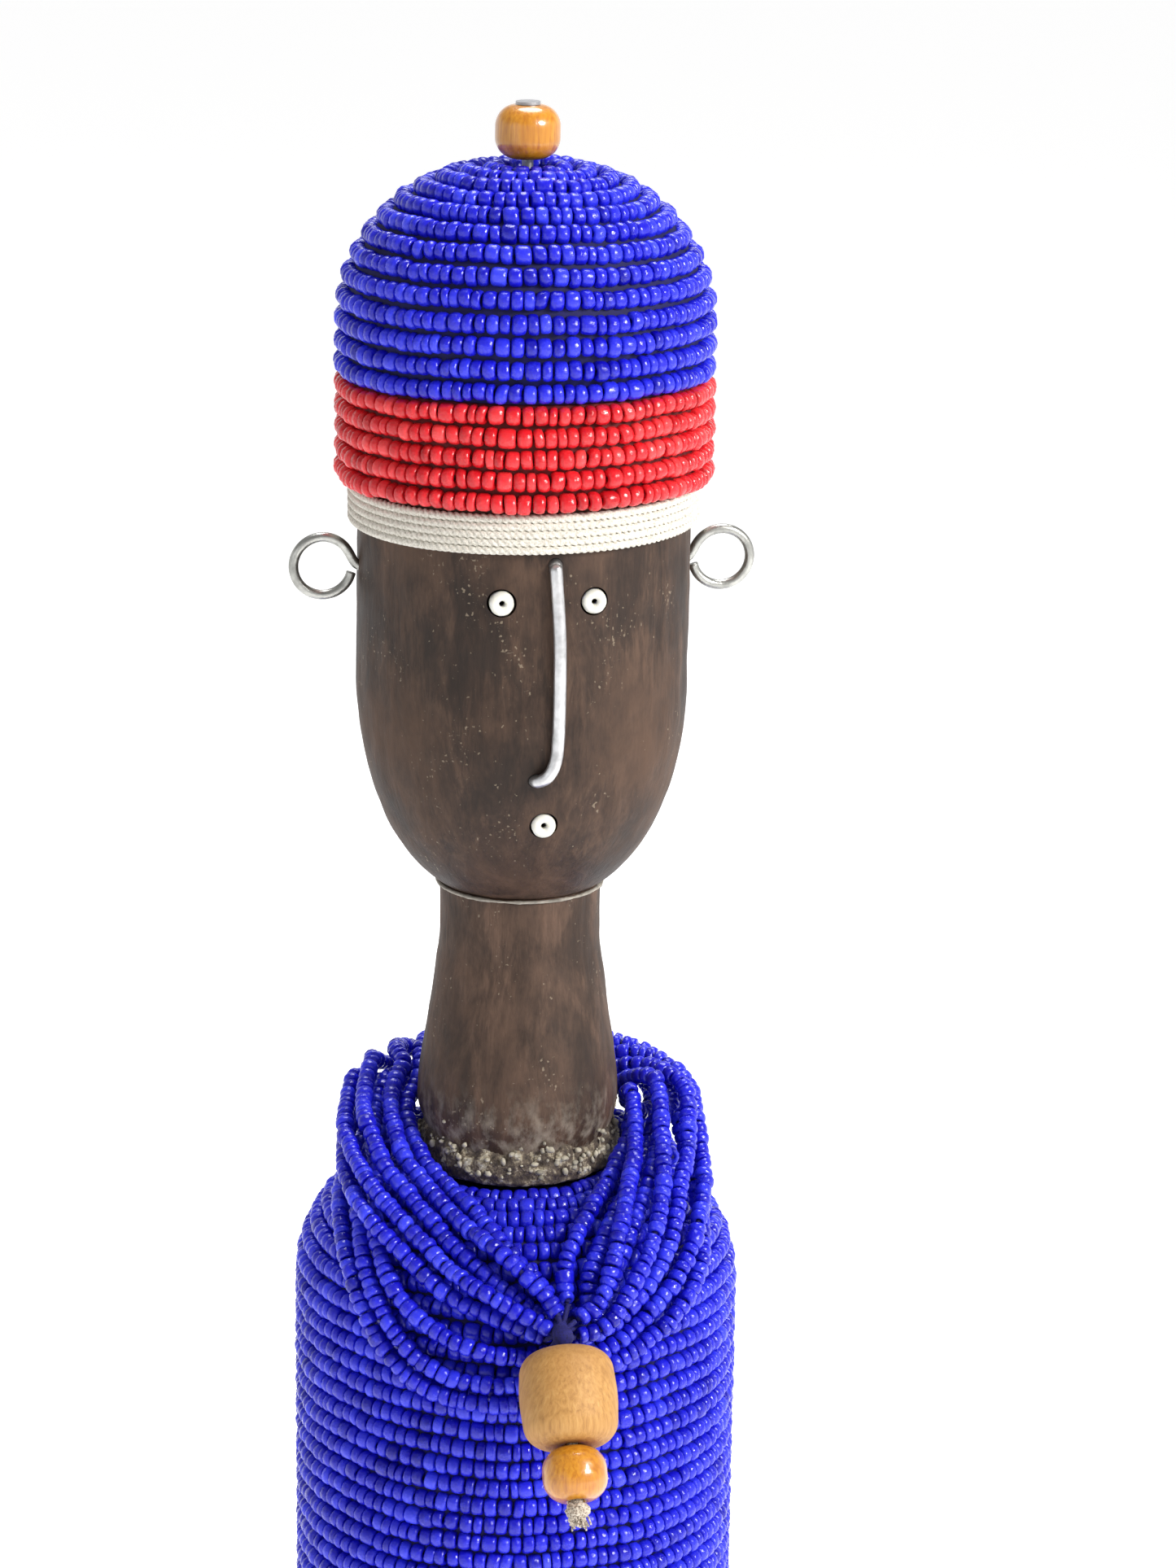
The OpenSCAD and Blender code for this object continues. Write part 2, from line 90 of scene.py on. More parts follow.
# Each strand's way from the tie to the rope, and from the rope back to the tie: [angle round
# from the face, distance out along the shoulder, height over the beads]
RIGHT_ROUTES = [
    [[3, 21.8, 0], [8, 18.6, 0], [13, 15.2, 0], [19, 11.8, 0], [27, 8.4, 0], [36, 5.8, 0.2],
        [46, 4.1, 0.8], [58, 3, 2], [72, 2, 3.6], [88, 1.5, 5.2], [104, 1.5, 6.6]],
    [[3, 23.2, 3], [8, 20.4, 3], [13, 17.8, 2.8], [19, 15.4, 1.9], [27, 12.4, 0.5],
        [36, 9.5, 0.6], [46, 7.4, 1.8], [58, 6, 3.6], [72, 4.4, 5.6], [88, 3.4, 7.6],
        [104, 3, 9.1]],
    [[4, 26.2, 0], [8, 24.2, 0], [13, 22.2, 0], [19, 19.6, 0], [27, 16.4, 0.1], [36, 13.2, 0.8],
        [46, 10.8, 2.4], [58, 9.2, 4.4], [72, 7.4, 6.6], [88, 6.5, 8.6], [104, 6, 10]],
    [[3, 27.8, 3], [8, 26.2, 3], [13, 24.6, 2.9], [19, 22.8, 2.2], [27, 20.2, 0.9], [36, 16.9, 1],
        [46, 14.4, 2.5], [58, 12.4, 4.4], [72, 10.5, 6], [88, 9.3, 7.1], [104, 8.7, 8.1]],
    [[3, 30, 0], [8, 28.6, 0], [13, 27.2, 0], [19, 26, 0], [27, 24, 0], [36, 20.8, 0.3],
        [46, 17.8, 2], [52, 16.6, 3], [58, 15.3, 3.1], [72, 12.9, 3.4], [88, 10.8, 3.9],
        [104, 9.2, 4.9]],
    [[3, 33.8, 0], [9, 33.4, 0], [17, 32.4, 0.4], [25, 30.8, 0.4], [32, 28.8, 0], [39, 25.8, 0],
        [47, 21.2, 0], [54, 16.8, 0], [62, 12.4, 0.1], [70, 9.4, 1], [78, 7.6, 2.4],
        [88, 6.3, 4.2], [104, 5.6, 6]],
    [[3, 37.5, 0], [12, 38.2, 0], [22, 37.8, 0], [32, 35.4, 0], [39, 31.4, 0], [47, 26, 0],
        [54, 21.2, 0], [62, 16.6, 0], [70, 13.2, 0], [78, 10.9, 0], [88, 8.6, 0.6],
        [104, 4.9, 2.9]],
    [[3, 40.8, 0], [12, 41.4, 0], [22, 41, 0], [32, 39.4, 0], [41, 35, 0], [49, 29, 0],
        [58, 23.2, 0], [67, 18.8, 0], [78, 15.2, 0], [88, 12.6, 0.4], [104, 8.4, 1.9]]]
LEFT_ROUTES = [
    [[292, 8.9, 8.4], [303, 11, 6.2], [312, 13, 4.6], [319, 16.4, 3], [326, 20.4, 1.4],
        [333, 24, 0.6], [340, 27.2, 0.2], [347, 29.8, 0.2]],
    [[291, 11.8, 5.8], [301, 15, 3.8], [309, 17.6, 2.6], [316, 21, 1.2], [324, 24.6, 0.2],
        [333, 28, 0], [341, 31.2, 0], [348, 33.4, 0]],
    [[290, 11.4, 2.6], [299, 16, 0.4], [306, 20, 0], [313, 24, 0], [321, 27.8, 0],
        [330, 31.2, 0], [339, 34, 0], [348, 36.6, 0]],
    [[292, 5.1, 2.2], [304, 5.6, 0.8], [316, 7, 0], [328, 9.6, 0], [337, 12.8, 0],
        [343, 16.2, 0], [347.5, 19.8, 0], [350, 23, 0], [350.5, 25.4, 0]],
    [[292, 2, 3.6], [304, 2.2, 1.8], [316, 3.2, 0.4], [328, 5.4, 0], [338, 8.4, 0],
        [346, 12, 0], [352, 15.8, 0], [355.5, 19.4, 0], [356, 22.4, 0]],
    [[292, 5.8, 5.6], [304, 7.2, 3.8], [316, 9.6, 2.2], [326, 12.6, 0.8], [334, 16.2, 0.2],
        [340, 20, 0.2], [344, 23.6, 0.2], [345, 25.2, 0.2]],
    [[292, 5.2, 9.4], [304, 7.2, 7.2], [314, 10.2, 5.7], [322, 13.6, 4.1], [329, 17.4, 3.3],
        [335, 21, 3.1], [341, 24.4, 3.1], [345.5, 27.4, 3.1]],
    [[292, 2.4, 7.2], [304, 3.8, 5.4], [316, 6.2, 3.9], [326, 9, 3.1], [334, 12.6, 3],
        [340, 16.8, 3], [344.5, 20.8, 3.1], [347.5, 24, 3.1]]]
# The strands under the rope: [distance out, first angle, last angle]
UNDER_ROUTES = [[2.9, 76, 284], [6.1, 112, 280], [9.3, 112, 280]]
# Where each strand's two ends stop near the tie: [to the doll's left, inward, up], millimetres
RIGHT_ENDS = [[-0.6, 6.4, 1.8], [-0.2, 3.0, 2.0], [-1.7, 5.7, 0.2], [-1.2, 2.6, -0.4],
              [-1.8, 5.7, -2.8], [-1.8, 5.7, -5.6], [-1.8, 5.7, -8.4], [-1.8, 5.7, -10.8]]
LEFT_ENDS = [[1.8, 5.7, -2.4], [1.8, 5.7, -5.4], [1.8, 5.7, -8.4], [1.9, 5.9, 0.2],
             [1.8, 6.2, 2.6], [4.6, 5.7, -0.8], [2.2, 2.6, -1.4], [2.4, 3, 1.2]]


# Camera, floor and light

def make_camera():
    """Looks down 16 degrees from the doll's right of centre, with the doll left of the middle."""
    turn, pitch, distance, aside = math.radians(-9.7), math.radians(16), 0.7, 10.6 * MM
    back = Vector((math.sin(turn) * math.cos(pitch), -math.cos(turn) * math.cos(pitch),
                   math.sin(pitch)))
    right = Vector((math.cos(turn), math.sin(turn), 0))
    data = bpy.data.cameras.new("camera")
    data.lens, data.sensor_width, data.clip_start = 101.6, 36, 0.01
    camera = bpy.data.objects.new("camera", data)
    camera.location = Vector((0, 0, 222.5 * MM)) + back * distance + right * aside
    roll = Quaternion((0, 0, 1), math.radians(0.85))
    camera.rotation_euler = (back.to_track_quat("Z", "Y") @ roll).to_euler()
    bpy.context.scene.collection.objects.link(camera)
    bpy.context.scene.camera = camera


def area_light(name, place, aim, size, power, tint):
    data = bpy.data.lights.new(name, "AREA")
    data.shape, data.size, data.energy, data.color = "DISK", size, power, tint
    light = bpy.data.objects.new(name, data)
    light.location = place
    light.rotation_euler = (Vector(place) - Vector(aim)).to_track_quat("Z", "Y").to_euler()
    bpy.context.scene.collection.objects.link(light)


def make_sky():
    """White round the horizon, where the floor ends, and dimmer overhead."""
    world = bpy.data.worlds.new("studio")
    world.use_nodes = True
    nodes, links = world.node_tree.nodes, world.node_tree.links
    split = nodes.new("ShaderNodeSeparateXYZ")
    links.new(nodes.new("ShaderNodeTexCoord").outputs["Generated"], split.inputs["Vector"])
    fade = nodes.new("ShaderNodeValToRGB")
    links.new(split.outputs["Z"], fade.inputs["Fac"])
    for element, (at, grey) in zip(fade.color_ramp.elements, ((0.12, 1.0), (0.4, 0.36))):
        element.position, element.color = at, (grey, grey, grey, 1)
    links.new(fade.outputs["Color"], nodes["Background"].inputs["Color"])
    nodes["Background"].inputs["Strength"].default_value = 1.0
    return world


def make_studio():
    scene = bpy.context.scene
    scene.view_settings.view_transform = "Standard"
    scene.world = make_sky()
    middle = (0, 0, 0.2)
    area_light("key", (0.62, -0.62, 0.72), middle, 0.36, 12, (1, 0.98, 0.95))
    area_light("fill", (-0.8, -0.6, 0.45), middle, 0.7, 0.6, (0.93, 0.96, 1))
    area_light("top", (0.1, 0.3, 1.0), middle, 0.5, 6, (1, 1, 1))
    bpy.ops.mesh.primitive_plane_add(size=16)
    floor = bpy.context.object
    floor.name = "floor"
    shader = Shader("floor_paint")
    shader.surface(**{"Base Color": (0.8, 0.8, 0.8, 1), "Roughness": 0.9,
                      "Emission Color": (1, 1, 1, 1), "Emission Strength": 0.64})
    floor.data.materials.append(shader.material)


# Materials

class Shader:
    """A material's nodes, with short calls that add one and wire it up."""

    def __init__(self, name):
        self.material = bpy.data.materials.new(name)
        self.material.use_nodes = True
        self.nodes = self.material.node_tree.nodes
        self.links = self.material.node_tree.links
        self.bsdf = self.nodes["Principled BSDF"]
        self.place = self.nodes.new("ShaderNodeTexCoord").outputs["Object"]

    def wire(self, node, inputs):
        for key, value in inputs.items():
            socket = node.inputs[key]
            if isinstance(value, bpy.types.NodeSocket):
                self.links.new(value, socket)
            else:
                socket.default_value = value

    def surface(self, **inputs):
        self.wire(self.bsdf, inputs)

    def stretch(self, x, y, z):
        """Object coordinates scaled so that one unit is one feature: x, y, z per metre."""
        node = self.nodes.new("ShaderNodeMapping")
        self.wire(node, {"Vector": self.place, "Scale": (x, y, z)})
        return node.outputs["Vector"]

    def noise(self, vector, detail=4.0, roughness=0.55, distortion=0.0):
        node = self.nodes.new("ShaderNodeTexNoise")
        self.wire(node, {"Vector": vector, "Scale": 1.0, "Detail": detail,
                         "Roughness": roughness, "Distortion": distortion})
        return node.outputs["Fac"]

    def ramp(self, factor, *stops):
        """Each stop is (position, colour), the colour as three numbers or one grey."""
        node = self.nodes.new("ShaderNodeValToRGB")
        while len(node.color_ramp.elements) < len(stops):
            node.color_ramp.elements.new(0.5)
        for element, (at, colour) in zip(node.color_ramp.elements, stops):
            element.position = at
            grey = isinstance(colour, (int, float))
            element.color = (colour, colour, colour, 1) if grey else (*colour, 1)
        self.links.new(factor, node.inputs["Fac"])
        return node.outputs["Color"]

    def mix(self, factor, a, b, blend="MIX"):
        node = self.nodes.new("ShaderNodeMix")
        node.data_type, node.blend_type = "RGBA", blend
        for socket, value in ((node.inputs[0], factor), (node.inputs[6], a), (node.inputs[7], b)):
            if isinstance(value, bpy.types.NodeSocket):
                self.links.new(value, socket)
            elif isinstance(value, (int, float)):
                socket.default_value = value
            else:
                socket.default_value = (*value, 1)
        return node.outputs[2]

    def math(self, kind, a, b):
        node = self.nodes.new("ShaderNodeMath")
        node.operation = kind
        for socket, value in ((node.inputs[0], a), (node.inputs[1], b)):
            if isinstance(value, bpy.types.NodeSocket):
                self.links.new(value, socket)
            else:
                socket.default_value = value
        return node.outputs[0]

    def attribute(self, name):
        node = self.nodes.new("ShaderNodeAttribute")
        node.attribute_name = name
        return node.outputs["Fac"]

    def bump(self, *layers):
        """Each layer is (height, depth in metres); they add up from fine to coarse."""
        normal = None
        for height, depth in layers:
            node = self.nodes.new("ShaderNodeBump")
            self.wire(node, {"Height": height, "Strength": 1.0, "Distance": depth})
            if normal is not None:
                self.links.new(normal, node.inputs["Normal"])
            normal = node.outputs["Normal"]
        self.links.new(normal, self.bsdf.inputs["Normal"])


def bead_glass(name, deep, plain, bright):
    """Opaque glass: each bead has its own tone, and its gloss is slightly pitted and cloudy."""
    s = Shader(name)
    tone = s.attribute("tone")
    colour = s.ramp(tone, (0.0, deep), (0.5, plain), (1.0, bright))
    cloud = s.noise(s.stretch(700, 700, 700), 3)
    colour = s.mix(s.ramp(cloud, (0.45, 0.0), (0.8, 0.5)), colour, bright)
    pits = s.noise(s.stretch(2600, 2600, 2600), 2)
    s.surface(**{"Base Color": colour, "Roughness": s.ramp(cloud, (0.3, 0.14), (0.8, 0.36)),
                 "IOR": 1.5, "Subsurface Weight": 0.15, "Subsurface Scale": 1.0,
                 "Subsurface Radius": (0.0006, 0.0006, 0.002)})
    s.bump((pits, 0.00006), (cloud, 0.00012))
    return s.material


def plain_bed(name, colour):
    """A mottled matt stuff: dried glue, and the beds under bead rows that paint the shade between
    beads.
    """
    s = Shader(name)
    mottle = s.noise(s.stretch(400, 400, 400), 3)
    dark = tuple(c * 0.35 for c in colour)
    s.surface(**{"Base Color": s.ramp(mottle, (0.3, dark), (0.75, colour)), "Roughness": 0.8})
    s.bump((mottle, 0.0002))
    return s.material


def oiled_wood(name, dark, plain, worn, gloss, haze=0.0):
    """Hand-carved wood: upright grain, smudges, scratches and dust, with haze low on the neck."""
    s = Shader(name)
    grain = s.noise(s.stretch(1500, 1500, 300), 5, 0.65, 0.4)
    band = s.noise(s.stretch(170, 170, 45), 5, 0.65, 1.0)
    smudge = s.noise(s.stretch(70, 70, 50), 5, 0.65)
    colour = s.ramp(band, (0.28, dark), (0.5, plain), (0.72, worn))
    colour = s.mix(s.ramp(grain, (0.40, 0.5), (0.58, 0.0)), colour, dark)
    colour = s.mix(s.ramp(smudge, (0.45, 0.0), (0.68, 0.7)), colour, worn)
    colour = s.mix(s.ramp(smudge, (0.34, 0.6), (0.46, 0.0)), colour, dark)
    scratch = s.noise(s.stretch(900, 900, 2600), 2, 0.5, 1.5)
    speck = s.noise(s.stretch(1700, 1700, 1500), 1, 0.4)
    patch = s.ramp(s.noise(s.stretch(110, 110, 80), 3, 0.6), (0.4, 0.78), (0.7, 1.08))
    dust = s.ramp(s.math("MULTIPLY", speck, patch), (0.67, 0.0), (0.74, 0.5))
    colour = s.mix(dust, colour, (0.30, 0.24, 0.17))
    scrape = s.ramp(s.math("MULTIPLY", scratch, patch), (0.72, 0.0), (0.78, 0.3))
    colour = s.mix(scrape, colour, (0.34, 0.28, 0.22))
    if haze:
        split = s.nodes.new("ShaderNodeSeparateXYZ")
        s.links.new(s.place, split.inputs["Vector"])
        low = s.math("MULTIPLY", s.ramp(s.math("MULTIPLY", split.outputs["Z"], 5.0),
                                        (0.82, 1.0), (0.885, 0.0)),
                     s.ramp(s.noise(s.stretch(420, 420, 260), 5, 0.65), (0.45, 0.0), (0.7, 1.0)))
        colour = s.mix(s.math("MULTIPLY", low, haze), colour, (0.42, 0.37, 0.30))
    s.surface(**{"Base Color": colour, "Specular IOR Level": 0.3,
                 "Roughness": s.ramp(smudge, (0.3, gloss), (0.8, gloss + 0.22))})
    s.bump((grain, 0.00006), (band, 0.0002))
    return s.material


def turned_wood(name, dark, plain, light, gloss, coat):
    """A bought wooden bead: straight grain along its hole, bare or varnished."""
    s = Shader(name)
    grain = s.noise(s.stretch(1700, 1700, 150), 4, 0.6, 0.4)
    cloud = s.noise(s.stretch(160, 160, 90), 3, 0.5)
    colour = s.ramp(grain, (0.3, dark), (0.5, plain), (0.75, light))
    colour = s.mix(s.ramp(cloud, (0.4, 0.0), (0.7, 0.45)), colour, dark)
    s.surface(**{"Base Color": colour, "Roughness": gloss, "Coat Weight": coat,
                 "Coat Roughness": 0.08})
    s.bump((grain, 0.00005 if coat else 0.00012))
    return s.material


def cotton(name, shade, plain, sheen=0.3):
    """Spun thread: fine fibres, and dirt in patches."""
    s = Shader(name)
    fibre = s.noise(s.stretch(3200, 3200, 3200), 3, 0.6)
    dirt = s.noise(s.stretch(140, 140, 260), 4, 0.6)
    colour = s.ramp(fibre, (0.36, shade), (0.56, plain))
    colour = s.mix(s.ramp(dirt, (0.5, 0.0), (0.8, 0.5)), colour, shade)
    s.surface(**{"Base Color": colour, "Roughness": 0.85, "Sheen Weight": sheen,
                 "Sheen Roughness": 0.5})
    s.bump((fibre, 0.00006))
    return s.material


def bare_metal(name, colour, gloss, spread):
    """Drawn wire with fine marks and dull patches."""
    s = Shader(name)
    marks = s.noise(s.stretch(2500, 2500, 2500), 3, 0.6)
    patch = s.noise(s.stretch(330, 330, 330), 3, 0.6)
    dull = tuple(c * 0.62 for c in colour)
    s.surface(**{"Base Color": s.ramp(patch, (0.35, dull), (0.62, colour)), "Metallic": 1.0,
                 "Roughness": s.ramp(patch, (0.3, gloss + spread), (0.7, gloss))})
    s.bump((marks, 0.00003), (patch, 0.00010))
    return s.material


def crusty_glue(name):
    """Dark dried glue with pale sawdust on its lumps."""
    s = Shader(name)
    lump = s.noise(s.stretch(480, 480, 480), 5, 0.65)
    fine = s.noise(s.stretch(1700, 1700, 1700), 4, 0.65)
    colour = s.ramp(lump, (0.42, (0.035, 0.024, 0.018)), (0.52, (0.12, 0.09, 0.062)),
                    (0.58, (0.42, 0.36, 0.25)), (0.70, (0.66, 0.64, 0.57)))
    s.surface(**{"Base Color": s.mix(s.ramp(fine, (0.35, 0.6), (0.6, 0.0)), colour,
                                     (0.10, 0.075, 0.055)), "Roughness": 0.7})
    s.bump((fine, 0.0003), (lump, 0.0006))
    return s.material


# Mesh helpers

def finish_piece(obj, body, *nodes):
    """Ties a piece to its body, and hides the CAD nodes that it stands for, if any."""
    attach(obj, body)
    if nodes:
        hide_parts(*nodes)


def mesh_object(name, verts, faces, material):
    mesh = bpy.data.meshes.new(name)
    mesh.from_pydata(verts, [], faces)
    mesh.polygons.foreach_set("use_smooth", [True] * len(mesh.polygons))
    mesh.update()
    mesh.materials.append(material)
    obj = bpy.data.objects.new(name, mesh)
    bpy.context.scene.collection.objects.link(obj)
    return obj


def skin_faces(count, sides, closed=False):
    """Quads between rings of points that follow each other, with end caps unless it closes."""
    ring = np.arange(count if closed else count - 1)[:, None]
    side = np.arange(sides)[None, :]
    a = ring * sides + side
    b = ring * sides + (side + 1) % sides
    c = (ring + 1) % count * sides + (side + 1) % sides
    d = (ring + 1) % count * sides + side
    faces = np.stack([a, b, c, d], axis=-1).reshape(-1, 4).tolist()
    if not closed:
        faces += [list(range(sides))[::-1], list(range((count - 1) * sides, count * sides))]
    return faces


def loft(name, rings, material, closed=False):
    """One skin over rings of points, an array (rings, points, 3), capped unless it closes."""
    faces = skin_faces(*rings.shape[:2], closed)
    return mesh_object(name, rings.reshape(-1, 3).tolist(), faces, material)


def tubes_object(name, tubes, material):
    """One mesh of many capped tubes, each an array of rings."""
    verts, faces = [], []
    for rings in tubes:
        faces += [[a + len(verts) for a in f] for f in skin_faces(*rings.shape[:2])]
        verts += rings.reshape(-1, 3).tolist()
    return mesh_object(name, verts, faces, material)


def lathe_rings(profile, sides):
    """Rings about Z, from the bottom up, for a profile of (radius, height) points."""
    profile = np.asarray(profile, float)
    turn = np.linspace(0, 2 * math.pi, sides, endpoint=False)
    return np.stack([profile[:, :1] * np.cos(turn), profile[:, :1] * np.sin(turn),
                     np.repeat(profile[:, 1:], sides, axis=1)], axis=-1)


def arc(cx, cz, r, start, end, count):
    """Points of a round stretch of a profile, angles in degrees from straight out."""
    turn = np.radians(np.linspace(start, end, count))
    return np.stack([cx + r * np.cos(turn), cz + r * np.sin(turn)], axis=-1).tolist()


def even_steps(points, step):
    """The same line with its points a given step apart."""
    points = np.asarray(points, float)
    gone = np.concatenate([[0], np.cumsum(np.linalg.norm(np.diff(points, axis=0), axis=1))])
    at = np.linspace(0, gone[-1], max(2, int(round(gone[-1] / step)) + 1))
    return np.stack([np.interp(at, gone, points[:, k]) for k in range(points.shape[1])], axis=-1)


def smooth_line(points, parts=8):
    """A Catmull-Rom curve through the points, with extra points between each pair."""
    p = np.asarray(points, float)
    p = np.vstack([p[:1], p, p[-1:]])
    u = np.linspace(0, 1, parts, endpoint=False)[:, None]
    out = [0.5 * (2 * p[k] + (p[k + 1] - p[k - 1]) * u
                  + (2 * p[k - 1] - 5 * p[k] + 4 * p[k + 1] - p[k + 2]) * u ** 2
                  + (3 * p[k] - p[k - 1] - 3 * p[k + 1] + p[k + 2]) * u ** 3)
           for k in range(1, len(p) - 2)]
    return np.vstack(out + [p[-2:-1]])


def tangents(line):
    along = np.gradient(line, axis=0)
    return along / np.linalg.norm(along, axis=1, keepdims=True)


def carried_frame(line):
    """Two directions square to the line at each point, carried along it without twist."""
    along = tangents(line)
    first = np.cross(along[0], (0.31, 0.2, 0.93))
    normals = [first / np.linalg.norm(first)]
    for direction in along[1:]:
        n = normals[-1] - direction * np.dot(normals[-1], direction)
        normals.append(n / np.linalg.norm(n))
    normals = np.array(normals)
    return normals, np.cross(along, normals)


def sweep_rings(line, radii, sides, turn=None, lobes=0, groove=0.0):
    """Rings round a line. With lobes, the section is that many plies, turned by turn radians."""
    u, v = carried_frame(line)
    angle = np.linspace(0, 2 * math.pi, sides, endpoint=False)
    radii = np.broadcast_to(np.asarray(radii, float), (len(line),))[:, None]
    if lobes:
        plies = np.abs(np.cos(lobes / 2 * (angle[None, :] - np.asarray(turn)[:, None])))
        radii = radii * (1 - groove * (1 - plies) ** 1.5)
    return (line[:, None] + u[:, None] * (radii * np.cos(angle))[..., None]
            + v[:, None] * (radii * np.sin(angle))[..., None])


def noisy(points, size, amount, octaves=3, shift=0.0):
    """Fractal noise at each point: size is the feature in metres, amount the reach."""
    flat = points.reshape(-1, 3) / size + shift
    values = [noise.fractal(Vector(p), 0.9, 2.1, octaves) for p in flat]
    return np.array(values).reshape(points.shape[:-1]) * amount


def push_out(rings, amount):
    """Moves each point away from the Z axis by amount."""
    flat = rings[..., :2]
    reach = np.linalg.norm(flat, axis=-1, keepdims=True)
    rings[..., :2] += flat / np.maximum(reach, 1e-6) * amount[..., None]
    return rings


# Beads

BEAD_SIDES = 12


def bead_batch(centres, axes, lengths, radii):
    """Vertices (beads, outline, sides, 3) of small worn tubes with rounded lips and a hole."""
    n = len(centres)
    half = lengths[:, None] / 2
    r = radii[:, None]
    lip = np.minimum(r * 0.5, half * 0.72) * RNG.uniform(0.75, 1.1, (n, 1))
    hole = r * 0.33
    along = np.concatenate([-half + lip * 0.25, -half, -half + lip * 0.3, -half + lip,
                            half - lip, half - lip * 0.3, half, half - lip * 0.25], axis=1)
    out = np.concatenate([hole, r - lip, r - lip * 0.3, r * 0.985, r * 0.985, r - lip * 0.3,
                          r - lip, hole], axis=1)
    turn = np.linspace(0, 2 * math.pi, BEAD_SIDES, endpoint=False)
    oval = 1 + RNG.uniform(0, 0.05, (n, 1)) * np.cos(2 * (turn + RNG.uniform(0, 6.3, (n, 1))))
    skew = RNG.normal(0, 0.09, (n, 1)) * np.cos(turn + RNG.uniform(0, 6.3, (n, 1)))
    radial = out[:, :, None] * oval[:, None, :]
    axial = along[:, :, None] + skew[:, None, :] * out[:, :, None]
    spare = RNG.normal(size=(n, 3))
    u = np.cross(axes, spare)
    u /= np.linalg.norm(u, axis=1, keepdims=True)
    v = np.cross(axes, u)
    return (centres[:, None, None] + axial[..., None] * axes[:, None, None]
            + (radial * np.cos(turn))[..., None] * u[:, None, None]
            + (radial * np.sin(turn))[..., None] * v[:, None, None])


def bead_object(name, batch, tones, material):
    """One mesh of many beads, each with its own tone attribute."""
    n, outline, sides = batch.shape[:3]
    k = np.arange(outline)[:, None]
    s = np.arange(sides)[None, :]
    quad = np.stack([k * sides + s, (k + 1) % outline * sides + s,
                     (k + 1) % outline * sides + (s + 1) % sides, k * sides + (s + 1) % sides],
                    axis=-1).reshape(-1, 4)
    quads = (quad[None] + np.arange(n)[:, None, None] * outline * sides).reshape(-1, 4)
    mesh = bpy.data.meshes.new(name)
    mesh.vertices.add(n * outline * sides)
    mesh.vertices.foreach_set("co", batch.reshape(-1).astype(np.float32))
    mesh.loops.add(quads.size)
    mesh.loops.foreach_set("vertex_index", quads.reshape(-1).astype(np.int32))
    mesh.polygons.add(len(quads))
    mesh.polygons.foreach_set("loop_start", np.arange(0, quads.size, 4, dtype=np.int32))
    mesh.polygons.foreach_set("use_smooth", np.ones(len(quads), dtype=bool))
    mesh.update(calc_edges=True)
    tone = mesh.attributes.new("tone", "FLOAT", "POINT")
    tone.data.foreach_set("value", np.repeat(tones, outline * sides).astype(np.float32))
    mesh.materials.append(material)
    obj = bpy.data.objects.new(name, mesh)
    bpy.context.scene.collection.objects.link(obj)
    return obj


def bead_lengths(total, mean, spread):
    """Random bead lengths that fill a run exactly."""
    count = max(3, int(round(total / mean)))
    lengths = np.clip(RNG.normal(1, spread, count), 0.62, 1.5)
    return lengths * total / lengths.sum()


def bead_tones(count):
    return np.clip(RNG.normal(0.5, 0.2, count), 0, 1)


def ring_row(radius, height, mean=1.95 * MM, wobble=1.0):
    """One row of beads round Z: centres, axes, lengths and radii."""
    gaps = bead_lengths(2 * math.pi * radius, mean, 0.17)
    turn = (np.cumsum(gaps) - gaps / 2) / radius + RNG.uniform(0, 6.3)
    n = len(gaps)
    wave = (0.34 * np.sin(turn * 2 + height * 55 + 1) + 0.2 * np.sin(turn * 5 - height * 90)
            + 0.1 * np.sin(turn * 11 + height * 40)) * MM * wobble
    heave = np.gradient(wave) / np.gradient(turn) / radius
    r = radius + RNG.normal(0, 0.05, n) * MM
    z = height + wave + RNG.normal(0, 0.07, n) * MM
    centres = np.stack([r * np.cos(turn), r * np.sin(turn), z], axis=-1)
    axes = np.stack([-np.sin(turn), np.cos(turn), heave], axis=-1) + RNG.normal(0, 0.055, (n, 3))
    axes /= np.linalg.norm(axes, axis=1, keepdims=True)
    radii = (BEAD_D / 2) * np.clip(RNG.normal(0.955, 0.03, n), 0.86, 0.99)
    return centres, axes, gaps * RNG.uniform(0.93, 0.99, n), radii


def rows_object(name, rows, material):
    centres, axes, lengths, radii = (np.concatenate(part) for part in zip(*rows))
    return bead_object(name, bead_batch(centres, axes, lengths, radii),
                       bead_tones(len(lengths)), material)


def dome_places(flat, z, core_round, pitch, inner, first):
    """(radius, height) of the rows that climb a rounded top, then cross its flat middle."""
    row_r = core_round + BEAD_D / 2
    count = int(round((90 - first) / math.degrees(pitch / row_r))) + 1
    tips = np.radians(np.linspace(first, 90, count))
    places = [(flat + row_r * math.cos(t), z + row_r * math.sin(t)) for t in tips]
    x = flat - pitch
    while x > inner + BEAD_D / 2:
        places.append((x, z + row_r))
        x -= pitch
    return places


# The doll's beadwork

